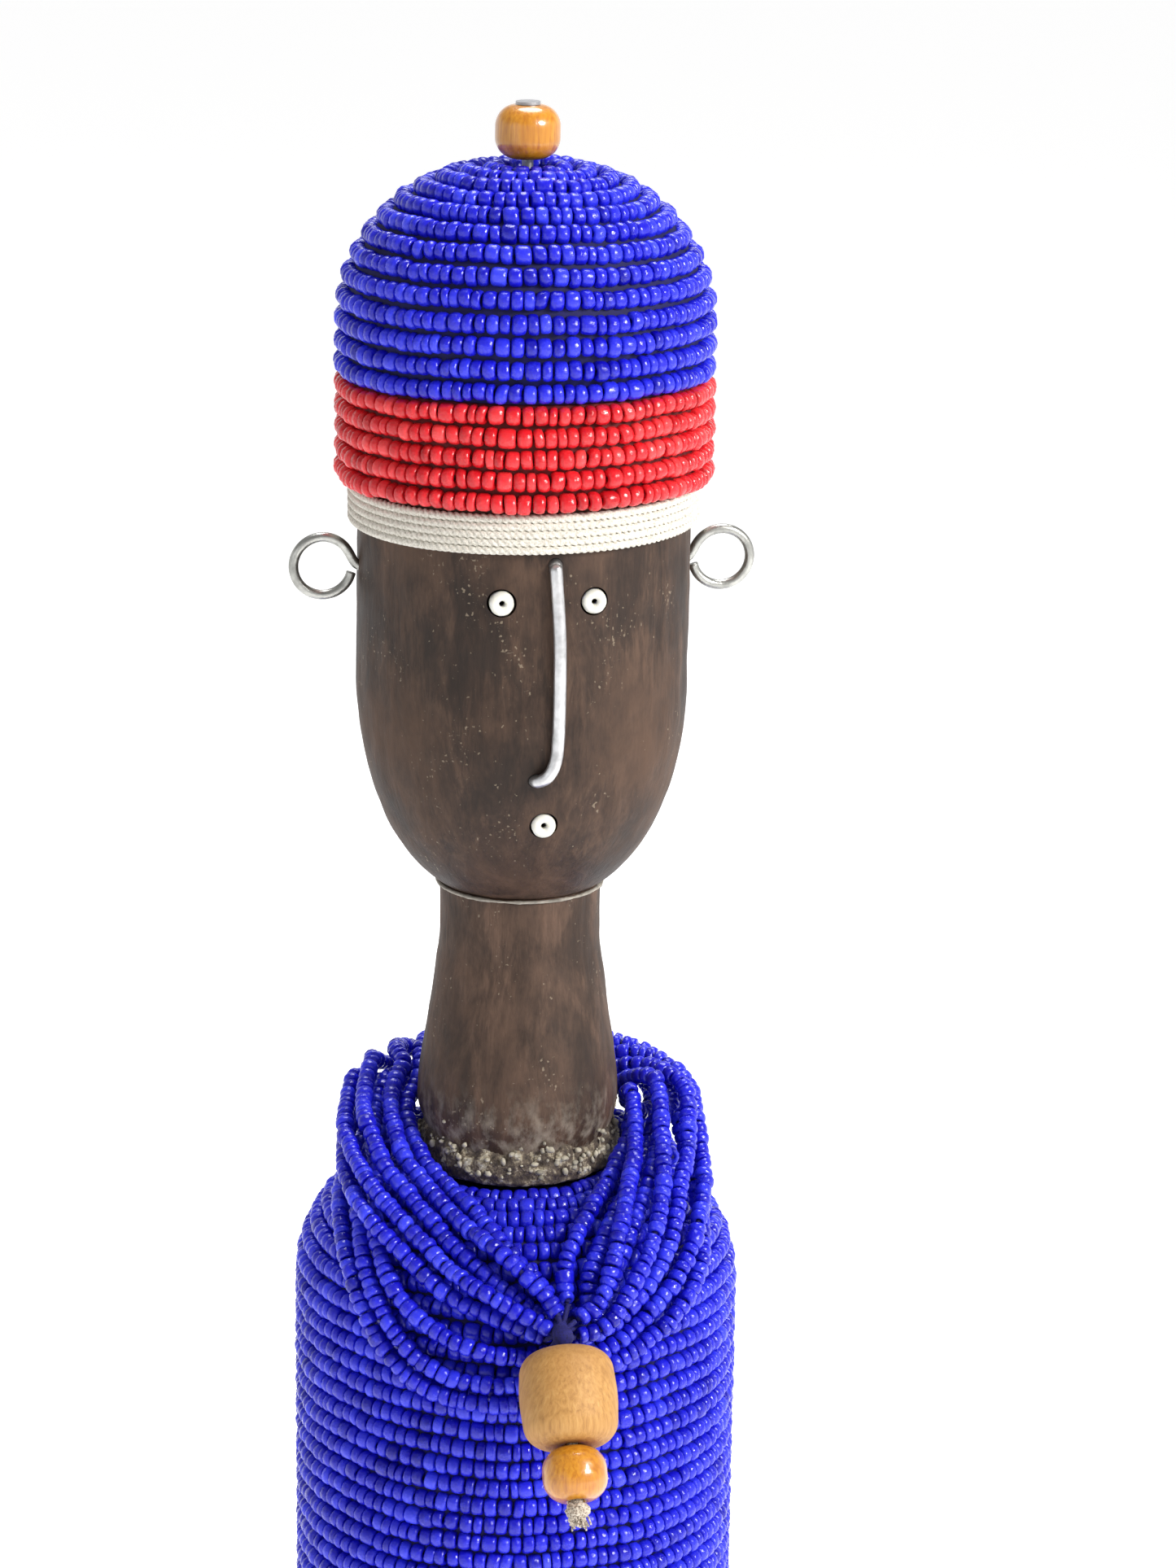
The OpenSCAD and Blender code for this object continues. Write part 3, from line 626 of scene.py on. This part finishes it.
def make_windings(blue, red, shade_bed_blue, shade_bed_red):
    """Rows of beads on the body, shoulder and cap, and under each set of rows a bed of painted
    shade.
    """
    row_r = CORE_R + BEAD_D / 2
    low = BODY_FOOT + BEAD_D / 2
    heights = np.linspace(low, ROUND_Z, int(round((ROUND_Z - low) / BODY_PITCH)) + 1)
    for k, band in enumerate(np.array_split(heights, 8)):
        rows = [ring_row(row_r, z) for z in band]
        finish_piece(rows_object("body_beads_%d" % (k + 1), rows, blue), "root",
                     "body_bead_winding")
    first = math.degrees(BODY_PITCH / (SHOULDER_ROUND - BEAD_D / 2))
    places = dome_places(FLAT_R, ROUND_Z, SHOULDER_ROUND - BEAD_D, BODY_PITCH, COLLAR_GAP_R, first)
    rows = [ring_row(r, z, wobble=0.6) for r, z in places]
    finish_piece(rows_object("shoulder_beads", rows, blue), "root", "shoulder_bead_winding")

    cap_r = CAP_CORE_R + BEAD_D / 2
    low = BLUE_Z + BEAD_D / 2 + 0.05 * MM
    straight = np.linspace(low, CAP_ROUND_Z, int(round((CAP_ROUND_Z - low) / CAP_PITCH)) + 1)
    places = [(cap_r, z) for z in straight]
    first = math.degrees(CAP_PITCH / (CAP_ROUND - BEAD_D / 2))
    places += dome_places(CAP_FLAT_R, CAP_ROUND_Z, CAP_ROUND - BEAD_D, CAP_PITCH, 1.9 * MM,
                          first)
    rows = [ring_row(r, z, wobble=0.5) for r, z in places]
    finish_piece(rows_object("cap_blue_beads", rows, blue), "root", "cap_blue_winding")
    low = RED_Z + BEAD_D * 0.36
    rows = [ring_row(cap_r, z, wobble=0.5)
            for z in np.linspace(low, BLUE_Z - BEAD_D / 2, RED_ROWS)]
    finish_piece(rows_object("cap_red_beads", rows, red), "root", "cap_red_winding")

    # The bed lies where the thread runs; its near-black colour is painted shade for the gaps
    # between beads.
    def bed(name, profile, material, node):
        rings = lathe_rings(profile, 128)
        finish_piece(loft(name, rings, material), "root", node)

    depth, tuck = BEAD_D * 0.42, 0.4 * MM
    bed("body_bead_shade_bed", [(CORE_R - tuck, BODY_FOOT + 0.3 * MM),
                          (CORE_R + depth, BODY_FOOT + 0.8 * MM), (CORE_R + depth, ROUND_Z)]
        + arc(FLAT_R, ROUND_Z, SHOULDER_ROUND - BEAD_D + depth, 4, 90, 20)
        + [(COLLAR_GAP_R, CORE_TOP + depth)], shade_bed_blue, "shoulder_bead_winding")
    bed("cap_blue_shade_bed", [(CAP_CORE_R - tuck, BLUE_Z), (CAP_CORE_R + depth, BLUE_Z + 0.2 * MM),
                         (CAP_CORE_R + depth, CAP_ROUND_Z)]
        + arc(CAP_FLAT_R, CAP_ROUND_Z, CAP_ROUND - BEAD_D + depth, 4, 90, 20)
        + [(1.2 * MM, CAP_ROUND_Z + CAP_ROUND - BEAD_D + depth)], shade_bed_blue, "cap_blue_winding")
    bed("cap_red_shade_bed", [(CAP_CORE_R - tuck, RED_Z + 0.2 * MM),
                        (CAP_CORE_R + depth, RED_Z + 0.5 * MM), (CAP_CORE_R + depth, BLUE_Z),
                        (CAP_CORE_R - tuck, BLUE_Z)], shade_bed_red, "cap_red_winding")


# Necklace

def rope_station(i, a):
    """Where strand i lies in the twisted rope at angle a, as a route point."""
    turn = math.radians(ROPE_SLOTS[i][0] + ROPE_TWIST * (a - ROPE_START) / (ROPE_END - ROPE_START))
    return [a, ROPE_OUT + ROPE_SLOTS[i][1] * math.sin(turn),
            ROPE_LIFT + ROPE_SLOTS[i][1] * math.cos(turn)]


def strand_line(i):
    """The strand's centre line, as far as the CAD solid goes."""
    rope = [rope_station(i, a) for a in range(ROPE_START, ROPE_END + 1, ROPE_STEP)]
    return laid_line(smooth_line(RIGHT_ROUTES[i] + rope + LEFT_ROUTES[i]))


def laid_line(q):
    """Points in space for stations of (angle from the face, distance out, height over beads)."""
    turn = np.radians(q[:, 0])
    s, lift = q[:, 1] * MM, q[:, 2] * MM
    reach = SHOULDER_ROUND + STRAND_RISE
    tip = np.clip(s / reach, 0, math.pi / 2)
    out = FLAT_R + np.minimum(0, s) + (reach + lift) * np.sin(tip)
    z = ROUND_Z - np.maximum(0, s - reach * math.pi / 2) + (reach + lift) * np.cos(tip)
    return np.stack([-np.sin(turn) * out, -np.cos(turn) * out, z], axis=-1)


def tie_frame():
    """The pendant's pivot, and the directions out from the body, to its left, and up."""
    place = np.array(cord_place(0))
    out = place[:3, 3] * (1, 1, 0)
    out /= np.linalg.norm(out)
    return place[:3, 3], out, np.array([-out[1], out[0], 0]), np.array([0, 0, 1])


def gathered_line(i):
    """The strand's line with both ends carried on behind the barrel bead, close to the tie."""
    pivot, out, left, up = tie_frame()
    line = strand_line(i)
    ends = []
    for last, before, (aside, inward, rise) in ((line[0], line[5], RIGHT_ENDS[i]),
                                                (line[-1], line[-6], LEFT_ENDS[i])):
        goal = pivot + (left * aside - out * inward + up * rise) * MM
        ahead = (last - before) / np.linalg.norm(last - before)
        bend = last + ahead * 0.4 * np.linalg.norm(goal - last)
        curve = smooth_line(np.stack([last, (bend + (last + goal) / 2) / 2, goal]), 10)
        ends.append(curve[1:])
    return np.vstack([ends[0][::-1], line, ends[1]])


def under_line(i):
    """A strand that lies flat on the shoulder under the rope."""
    out, first, last = UNDER_ROUTES[i]
    return laid_line(np.array([[a, out, 0] for a in range(first, last + 1, 4)]))


def make_strands(blue, thread):
    """The necklace's strands: beads on a thread, each strand a free cord."""
    step, bare_end = 0.25 * MM, 0.5 * MM
    lines = [gathered_line(i) for i in range(len(ROPE_SLOTS))]
    lines += [under_line(i) for i in range(len(UNDER_ROUTES))]
    for i, line in enumerate(lines):
        line = even_steps(line, step)
        total = step * (len(line) - 1)
        lengths = bead_lengths(total - 2 * bare_end, 1.75 * MM, 0.18)
        at = bare_end + np.cumsum(lengths) - lengths / 2
        index = np.clip((at / step).astype(int), 0, len(line) - 1)
        n = len(lengths)
        centres = line[index] + RNG.normal(0, 0.07 * MM, (n, 3))
        axes = tangents(line)[index] + RNG.normal(0, 0.09, (n, 3))
        axes /= np.linalg.norm(axes, axis=1, keepdims=True)
        radii = STRAND_D / 2 * np.clip(RNG.normal(0.96, 0.045, n), 0.84, 1.03)
        batch = bead_batch(centres, axes, lengths * RNG.uniform(0.93, 0.99, n), radii)
        piece = bead_object("necklace_beads_%d" % (i + 1), batch, bead_tones(n), blue)
        finish_piece(piece, "necklace", "necklace_strand_%d" % (i + 1))
        core = loft("necklace_thread_%d" % (i + 1), sweep_rings(line[::4], 0.42 * MM, 6), thread)
        finish_piece(core, "necklace")


# Carved wood and glue

JAW_Z, JAW_H, JAW_END = 240 * MM, 36 * MM, 66
NECK_SHAPE = [(13.2, 160), (13.9, 162.6), (14.9, 165.8), (15.8, 168.8), (16.05, 170.8),
              (15.95, 173.5), (15.5, 177.5), (14.9, 182), (14.0, 188), (13.35, 193), (12.8, 197),
              (12.7, 202), (12.75, 207)]
EYES = [(7.05, -24.9, 257.9), (-7.05, -24.9, 257.9)]
MOUTH = (0, -23.1, 222.3)
NOSE_TOP = (0.9, -27, 263.9)
NOSE_FOOT = (-1.7, -24.4, 230)
NOSE_ROUTE = [(0.9, -20, 263.9), (0.9, -25.4, 263.9), (0.9, -26.5, 263.4), (0.9, -27, 262.3),
              (1.5, -27.2, 253), (1.6, -27.1, 244), (1.5, -26.8, 236.6), (1.1, -26.7, 233.2),
              (0.1, -26.5, 231.1), (-1.2, -26, 230.2), (-1.7, -24.8, 230), (-1.7, -23.4, 230),
              (-1.7, -18.4, 230)]
WIRE_R = 1 * MM
CRUMB_TRIES = 340


def drill(piece, holes):
    """Cuts round holes along +Y: each is (x, y, z, radius) in millimetres, 6 mm deep."""
    parts = []
    for x, y, z, r in holes:
        rings = lathe_rings([(r * MM, -2 * MM), (r * MM, 6 * MM)], 40)
        rings = np.stack([rings[..., 0] + x * MM, rings[..., 2] + y * MM,
                          -rings[..., 1] + z * MM], axis=-1)
        parts.append(loft("hole", rings, piece.data.materials[0]))
    for cutter in parts:
        cut = piece.modifiers.new("hole", "BOOLEAN")
        cut.operation, cut.solver, cut.object = "DIFFERENCE", "EXACT", cutter
    graph = bpy.context.evaluated_depsgraph_get()
    mesh = bpy.data.meshes.new_from_object(piece.evaluated_get(graph))
    piece.modifiers.clear()
    piece.data = mesh
    mesh.set_sharp_from_angle(angle=math.radians(50))
    for cutter in parts:
        bpy.data.objects.remove(cutter)


def make_head():
    """The carved head, uneven from the knife, drilled for the face beads and the nose wire."""
    jaw = [(HEAD_R * math.cos(t) ** 0.8, JAW_Z - JAW_H * math.sin(t))
           for t in np.radians(np.linspace(JAW_END, 0, 50))]
    side = [(HEAD_R, z) for z in np.linspace(JAW_Z + 1 * MM, RED_Z, 34)]
    rings = lathe_rings([(0.4 * MM, jaw[0][1])] + jaw + side, 200)
    carve = noisy(rings, 11 * MM, 0.22 * MM) + noisy(rings * (1, 1, 0.25), 3 * MM, 0.07 * MM)
    carve[0] = 0
    piece = loft("carved_head", push_out(rings, carve), HEAD_WOOD)
    holes = [(x, y, z, 2.2) for x, y, z in EYES + [MOUTH]]
    holes += [(x, y, z, 1.08) for x, y, z in (NOSE_TOP, NOSE_FOOT)]
    drill(piece, holes)
    finish_piece(piece, "root", "head_block")


def make_neck():
    """The carved neck, flared at the foot, with knife marks up it."""
    shape = smooth_line(np.array(NECK_SHAPE) * MM, 5)
    rings = lathe_rings(shape, 160)
    carve = noisy(rings, 8 * MM, 0.16 * MM, shift=5)
    carve += noisy(rings * (1, 1, 0.12), 1.6 * MM, 0.06 * MM)
    finish_piece(loft("carved_neck", push_out(rings, carve), NECK_WOOD), "root", "neck_post")


def make_chin_glue():
    """A thin squeezed-out line that comes and goes round the joint of the chin and the neck."""
    steps, r = 260, 13 * MM
    turn = np.linspace(0, 2 * math.pi, steps, endpoint=False)
    z = JAW_Z - JAW_H * math.sin(math.radians(JAW_END)) - 0.35 * MM
    line = np.stack([r * np.cos(turn), r * np.sin(turn), np.full(steps, z)], axis=-1)
    swell = 0.36 * MM + noisy(line, 5 * MM, 0.2 * MM) + noisy(line, 1.2 * MM, 0.12 * MM)
    swell = np.maximum(swell, 0.08 * MM)[:, None]
    angle = np.linspace(0, 2 * math.pi, 10, endpoint=False)[None, :]
    out = line[:, None, :2] * (1 + swell * np.cos(angle) / r)[..., None]
    height = (line[:, None, 2] + 0.7 * swell * np.sin(angle))[..., None]
    rings = np.concatenate([out, height], axis=-1)
    finish_piece(loft("chin_glue", rings, GLUE_LINE, closed=True), "root", "chin_glue_line")


def make_neck_glue():
    """The crust at the foot of the neck, and loose crumbs stuck on and above it."""
    foot = SHOULDER_TOP
    shape = [(13.3, 0.1), (15.0, 0.1), (15.6, 0.7), (15.9, 2), (15.9, 3.5), (15.85, 5), (15.7, 6.4),
             (15.4, 7)]
    rings = lathe_rings(even_steps([(r * MM, foot + h * MM) for r, h in shape], 0.28 * MM), 260)
    crust = noisy(rings, 3.4 * MM, 0.34 * MM) + noisy(rings, 0.9 * MM, 0.26 * MM)
    edge = 0.66 + noisy(rings * (1, 1, 0.2), 4 * MM, 0.4)
    bare = (rings[..., 2] - foot) / (7 * MM) - edge
    crust -= np.clip(bare / 0.2, 0, 1) * 0.9 * MM
    crust[0] = 0
    finish_piece(loft("neck_glue_crust", push_out(rings, crust), GLUE), "root", "neck_glue_collar")

    shape = bmesh.new()
    bmesh.ops.create_icosphere(shape, subdivisions=2, radius=1)
    base = np.array([v.co[:] for v in shape.verts])      # a ball
    tris = np.array([[v.index for v in f.verts] for f in shape.faces])
    shape.free()
    verts, faces = [], []
    for k in range(CRUMB_TRIES):
        turn = RNG.uniform(0, 2 * math.pi)
        h = abs(RNG.normal(0, 1)) * 3.2 * MM + RNG.uniform(0, 2.2) * MM
        clump = noise.noise(Vector((math.cos(turn) * 2.6, math.sin(turn) * 2.6, h * 300)))
        if h > 11 * MM or clump < RNG.uniform(-0.45, 0.25):
            continue
        r = np.interp(h / MM, [0, 3.5, 7, 11], [15.7, 16.0, 15.75, 16.1]) * MM
        size = RNG.uniform(0.16, 0.62) * MM * (1 if h < 7 * MM else 0.55)
        centre = np.array([r * math.cos(turn), r * math.sin(turn), foot + 0.5 * MM + h])
        lump = base * (1 + 0.35 * noisy(base + k, 0.9, 1)[:, None])
        lump = lump * RNG.uniform(0.6, 1.3, 3) * size
        verts.append(centre + lump)
        faces.append(tris + len(base) * len(faces))
    piece = mesh_object("glue_crumbs", np.concatenate(verts).tolist(),
                        np.concatenate(faces).tolist(), CRUMB)
    finish_piece(piece, "root", "neck_glue_collar")


# Headband, wires and face beads

def make_headband():
    """Five turns of twisted white cord, wound as one helix with its ends tucked in at the back."""
    steps = 560 * HEADBAND_TURNS
    turn = math.pi / 2 + np.linspace(0, 2 * math.pi * HEADBAND_TURNS, steps)
    r = HEAD_R + HEADBAND_D / 2 + 0.05 * MM
    rise = np.linspace(HEADBAND_D / 2, HEADBAND_D * (HEADBAND_TURNS - 0.5), steps)
    sag = 0.16 * MM * np.sin(turn + 0.6) + 0.07 * MM * np.sin(turn * 3)
    line = np.stack([r * np.cos(turn), r * np.sin(turn), HEADBAND_Z + rise + sag], axis=-1)
    length = np.linspace(0, 1, steps) * 2 * math.pi * r * HEADBAND_TURNS
    swell = HEADBAND_D / 2 * (0.98 + 0.02 * np.sin(length / (7 * MM)))
    rings = sweep_rings(line, swell, 16, length / (3.2 * MM) * 2 * math.pi, 3, 0.42)
    finish_piece(loft("headband_twist", rings, CORD), "root", "headband_cord")


def make_wires():
    """The two screw eyes that are the ears, each a stem bent into an open ring, and the nose."""
    for name, side in (("left", 1), ("right", -1)):
        stem = [(-9.6, 0), (-7.2, 0), (-5.9, 0.1), (-4.95, -0.5)]
        ring = arc(0, 0, EAR_RING / MM, 196, 526, 26)
        flat = smooth_line(np.array(stem + ring[1:]), 5) * MM
        tilt = RNG.normal(0, 0.05)
        line = np.stack([side * (EAR_X + flat[:, 0]), flat[:, 1] * tilt, EAR_Z - flat[:, 1]],
                        axis=-1)
        rings = sweep_rings(line, EAR_WIRE * 1.02, 16)
        finish_piece(loft(name + "_ear_ring", rings, ZINC), "root", name + "_ear_screw_eye")
    line = smooth_line(np.array(NOSE_ROUTE) * MM, 8)
    rings = sweep_rings(line, WIRE_R * (1 + 0.02 * noisy(line, 3 * MM, 1)), 18)
    finish_piece(loft("nose_wire_bent", rings, ALUMINIUM), "root", "nose_wire")


def make_face_beads():
    """Seed beads pressed in end-on, so that each shows as a white ring round a dark hole."""
    places = [("left_eye_bead", EYES[0]), ("right_eye_bead", EYES[1]), ("mouth_bead", MOUTH)]
    for node, (x, y, z) in places:
        shape = [(0.42, -1.2), (1.85, -1.2)] + arc(1.2, 0.03, 0.7, 0, 90, 8)
        shape += [(0.85, 0.7), (0.6, 0.58), (0.46, 0.3), (0.42, 0)]
        rings = lathe_rings(np.array(shape) * MM, 40)
        rings = rings * (1 + noisy(rings, 1.3 * MM, 0.03)[..., None])
        rings = np.stack([rings[..., 0] + x * MM, y * MM - rings[..., 2],
                          rings[..., 1] + z * MM], axis=-1)
        piece = loft(node + "_glass", rings, WHITE, closed=True)
        finish_piece(piece, "root", node)


# Wooden beads and the pendant

def bead_profile(d, length, corner, hole, dish=0.0):
    """Outline of a turned wooden bead, closed through its hole."""
    r, half = d / 2, length / 2
    top = arc(r - corner, half - corner, corner, 0, 84, 14)
    low = arc(r - corner, -half + corner, corner, -84, 0, 14)
    swell = [(r + dish * math.sin(math.pi * u), (half - corner) * (2 * u - 1))
             for u in np.linspace(0.08, 0.92, 9)]
    lip = 0.35 * MM
    return ([(hole, half - lip), (hole, -half + lip), (hole + lip, -half)] + low + swell + top
            + [(hole + lip, half)])


def wooden_bead(name, d, length, corner, hole, material, place, body, node, dish=0.0):
    rings = lathe_rings(bead_profile(d, length, corner, hole, dish), 72)
    rings = push_out(rings, noisy(rings, 6 * MM, 0.06 * MM, shift=len(name)))
    piece = loft(name, rings, material, closed=True)
    piece.data.transform(place)
    finish_piece(piece, body, node)


def cord_place(along):
    """Matrix that puts a piece made about Z at a distance down the hanging cord."""
    pivot = (Matrix.Rotation(PIVOT_TURN - math.pi / 2, 4, "Z") @ Matrix.Translation((PIVOT_R, 0, 0))
             @ Matrix.Rotation(-PIVOT_LEAN, 4, "Z") @ Matrix.Rotation(-PIVOT_TILT, 4, "Y"))
    return Matrix.Translation((0, 0, PIVOT_Z)) @ pivot @ Matrix.Translation((0, 0, -along))


def make_wooden_beads():
    crown_low, crown_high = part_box("crown_bead")
    middle = Matrix.Translation((0, 0, (crown_low.z + crown_high.z) / 2))
    wooden_bead("crown_bead_turned", ROUND_D, crown_high.z - crown_low.z, 3.2 * MM, 1.3 * MM,
                AMBER_WOOD, middle, "crown_bead", "crown_bead")
    wooden_bead("barrel_bead_turned", BARREL_D, BARREL_L, 3.6 * MM, 1.4 * MM, BARE_WOOD,
                cord_place(BARREL_START + BARREL_L / 2), "barrel_bead", "pendant_barrel_bead",
                0.25 * MM)
    start = BARREL_START + BARREL_L + BEAD_SPACE
    wooden_bead("round_bead_turned", ROUND_D, ROUND_L, 3.6 * MM, 1.3 * MM, AMBER_WOOD,
                cord_place(start + ROUND_L / 2), "round_bead", "pendant_round_bead")


def moved(rings, place):
    """The same points put through a placing matrix."""
    place = np.array(place)
    return rings @ place[:3, :3].T + place[:3, 3]


def make_pendant_cord():
    """The hanging thread, its end knot, and the frayed tail under it."""
    knot_at = BARREL_START + BARREL_L + BEAD_SPACE + ROUND_L + BEAD_SPACE
    z = np.linspace(-1.7 * MM, -knot_at, 120)
    line = np.stack([0 * z, 0 * z, z], axis=-1)
    rings = sweep_rings(line, CORD_R, 14, z / (2.6 * MM) * 2 * math.pi, 3, 0.3)
    finish_piece(loft("pendant_thread", moved(rings, cord_place(0)), THREAD), "pendant",
                 "pendant_cord")
    for k in range(3):
        turn = np.linspace(0, 2 * math.pi, 60, endpoint=False)
        r = 1.3 * MM
        loop = np.stack([r * np.cos(turn), r * np.sin(turn) * 0.85,
                         0.35 * MM * np.sin(2 * turn + k * 2.1)], axis=-1)
        lean = Matrix.Rotation(0.5 * k - 0.4, 4, "X") @ Matrix.Rotation(k * 1.9, 4, "Z")
        loop = moved(loop, cord_place(knot_at + 0.9 * MM + 0.45 * k * MM) @ lean)
        wrap = np.concatenate([loop, loop[:2]])
        rings = sweep_rings(wrap, 0.74 * MM, 12, np.linspace(0, 18, len(wrap)), 3, 0.4)
        finish_piece(loft("pendant_knot_%d" % (k + 1), rings, THREAD), "pendant", "pendant_cord")
    hairs = []
    for k in range(46):
        turn, spread = RNG.uniform(0, 6.3), RNG.uniform(0.2, 1.9) * MM
        foot = np.array([0.8 * MM * math.cos(turn), 0.8 * MM * math.sin(turn), -1.4 * MM])
        tip = np.array([spread * math.cos(turn), spread * math.sin(turn),
                        -RNG.uniform(2.4, 4.0) * MM])
        bend = (foot + tip) / 2 + RNG.normal(0, 0.25, 3) * MM
        hair = smooth_line(np.stack([foot, bend, tip]), 5)
        hairs.append(sweep_rings(moved(hair, cord_place(knot_at)), 0.15 * MM, 5))
    finish_piece(tubes_object("pendant_frayed_end", hairs, THREAD), "pendant", "pendant_cord")


def make_ties():
    """Short dark threads that gather the strands' ends into the tie the pendant hangs from."""
    pivot, out, left, up = tie_frame()
    gather = pivot - out * 2.2 * MM
    threads = []
    for i in range(len(ROPE_SLOTS)):
        line = gathered_line(i)
        for end in (line[0], line[-1]):
            thread = smooth_line(np.stack([end, (end + gather) / 2 + out * 0.3 * MM, gather]), 6)
            threads.append(sweep_rings(thread, 0.4 * MM, 8))
    finish_piece(tubes_object("strand_tie_threads", threads, DARK_THREAD), "necklace",
                 "strand_tie_thread")
    turn = np.linspace(0, 2 * math.pi * 3.5, 120)
    coil = (gather + out * (np.linspace(-1.6, 1.0, 120) * MM)[:, None]
            + (left * np.cos(turn)[:, None] + up * np.sin(turn)[:, None]) * 1.0 * MM)
    rings = sweep_rings(coil, 0.42 * MM, 8)
    finish_piece(loft("strand_tie_wrap", rings, DARK_THREAD), "necklace", "strand_tie_thread")
    ball = lathe_rings(arc(0, 0, 1.6 * MM, -88, 88, 24), 40)
    ball = ball * (1 + noisy(ball, 0.8 * MM, 0.05)[..., None])
    finish_piece(loft("swing_knot_thread", moved(ball, cord_place(0)), DARK_THREAD), "swing_knot",
                 "pendant_swing_knot")


make_camera()
make_studio()

BLUE = bead_glass("blue_glass", (0.003, 0.002, 0.30), (0.009, 0.009, 0.52), (0.035, 0.048, 0.78))
RED = bead_glass("red_glass", (0.38, 0.004, 0.008), (0.62, 0.010, 0.018), (0.80, 0.055, 0.06))
WHITE = bead_glass("white_glass", (0.62, 0.61, 0.55), (0.8, 0.79, 0.74), (0.9, 0.9, 0.87))
# Near-black beds under the bead rows: their colour is painted shade for the gaps between beads.
SHADE_BED_BLUE = plain_bed("blue_painted_shade_bed", (0.003, 0.002, 0.09))
SHADE_BED_RED = plain_bed("red_painted_shade_bed", (0.14, 0.003, 0.005))
HEAD_WOOD = oiled_wood("head_wood", (0.012, 0.006, 0.0035), (0.040, 0.021, 0.013),
                       (0.092, 0.052, 0.033), 0.5)
NECK_WOOD = oiled_wood("neck_wood", (0.020, 0.0105, 0.0065), (0.054, 0.030, 0.019),
                       (0.12, 0.070, 0.047), 0.55, 0.7)
CORE_WOOD = oiled_wood("core_wood", (0.03, 0.019, 0.014), (0.075, 0.048, 0.034),
                       (0.12, 0.08, 0.058), 0.6)
BARE_WOOD = turned_wood("bare_wood", (0.34, 0.16, 0.04), (0.47, 0.24, 0.065), (0.56, 0.32, 0.105),
                        0.6, 0.0)
AMBER_WOOD = turned_wood("amber_wood", (0.40, 0.13, 0.005), (0.56, 0.22, 0.008),
                         (0.66, 0.31, 0.025), 0.3, 0.8)
CORD = cotton("white_cord", (0.46, 0.43, 0.36), (0.70, 0.67, 0.60), 0.1)
THREAD = cotton("grey_thread", (0.16, 0.11, 0.075), (0.60, 0.53, 0.44))
DARK_THREAD = cotton("blue_thread", (0.003, 0.002, 0.05), (0.008, 0.007, 0.13), 0.0)
ZINC = bare_metal("zinc_wire", (0.50, 0.50, 0.47), 0.26, 0.2)
ALUMINIUM = bare_metal("aluminium_wire", (0.68, 0.68, 0.69), 0.30, 0.14)
STEEL = bare_metal("steel_nail", (0.5, 0.5, 0.52), 0.3, 0.2)
GLUE = crusty_glue("crusty_glue")
GLUE_LINE = plain_bed("thin_glue", (0.46, 0.42, 0.36))
CRUMB = plain_bed("glue_crumb", (0.56, 0.51, 0.40))

for node, material in (("torso_core", CORE_WOOD), ("crown_nail", STEEL)):
    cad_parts[node].data.materials.clear()
    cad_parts[node].data.materials.append(material)

make_windings(BLUE, RED, SHADE_BED_BLUE, SHADE_BED_RED)
make_strands(BLUE, DARK_THREAD)
make_head()
make_neck()
make_chin_glue()
make_neck_glue()
make_headband()
make_wires()
make_face_beads()
make_wooden_beads()
make_pendant_cord()
make_ties()
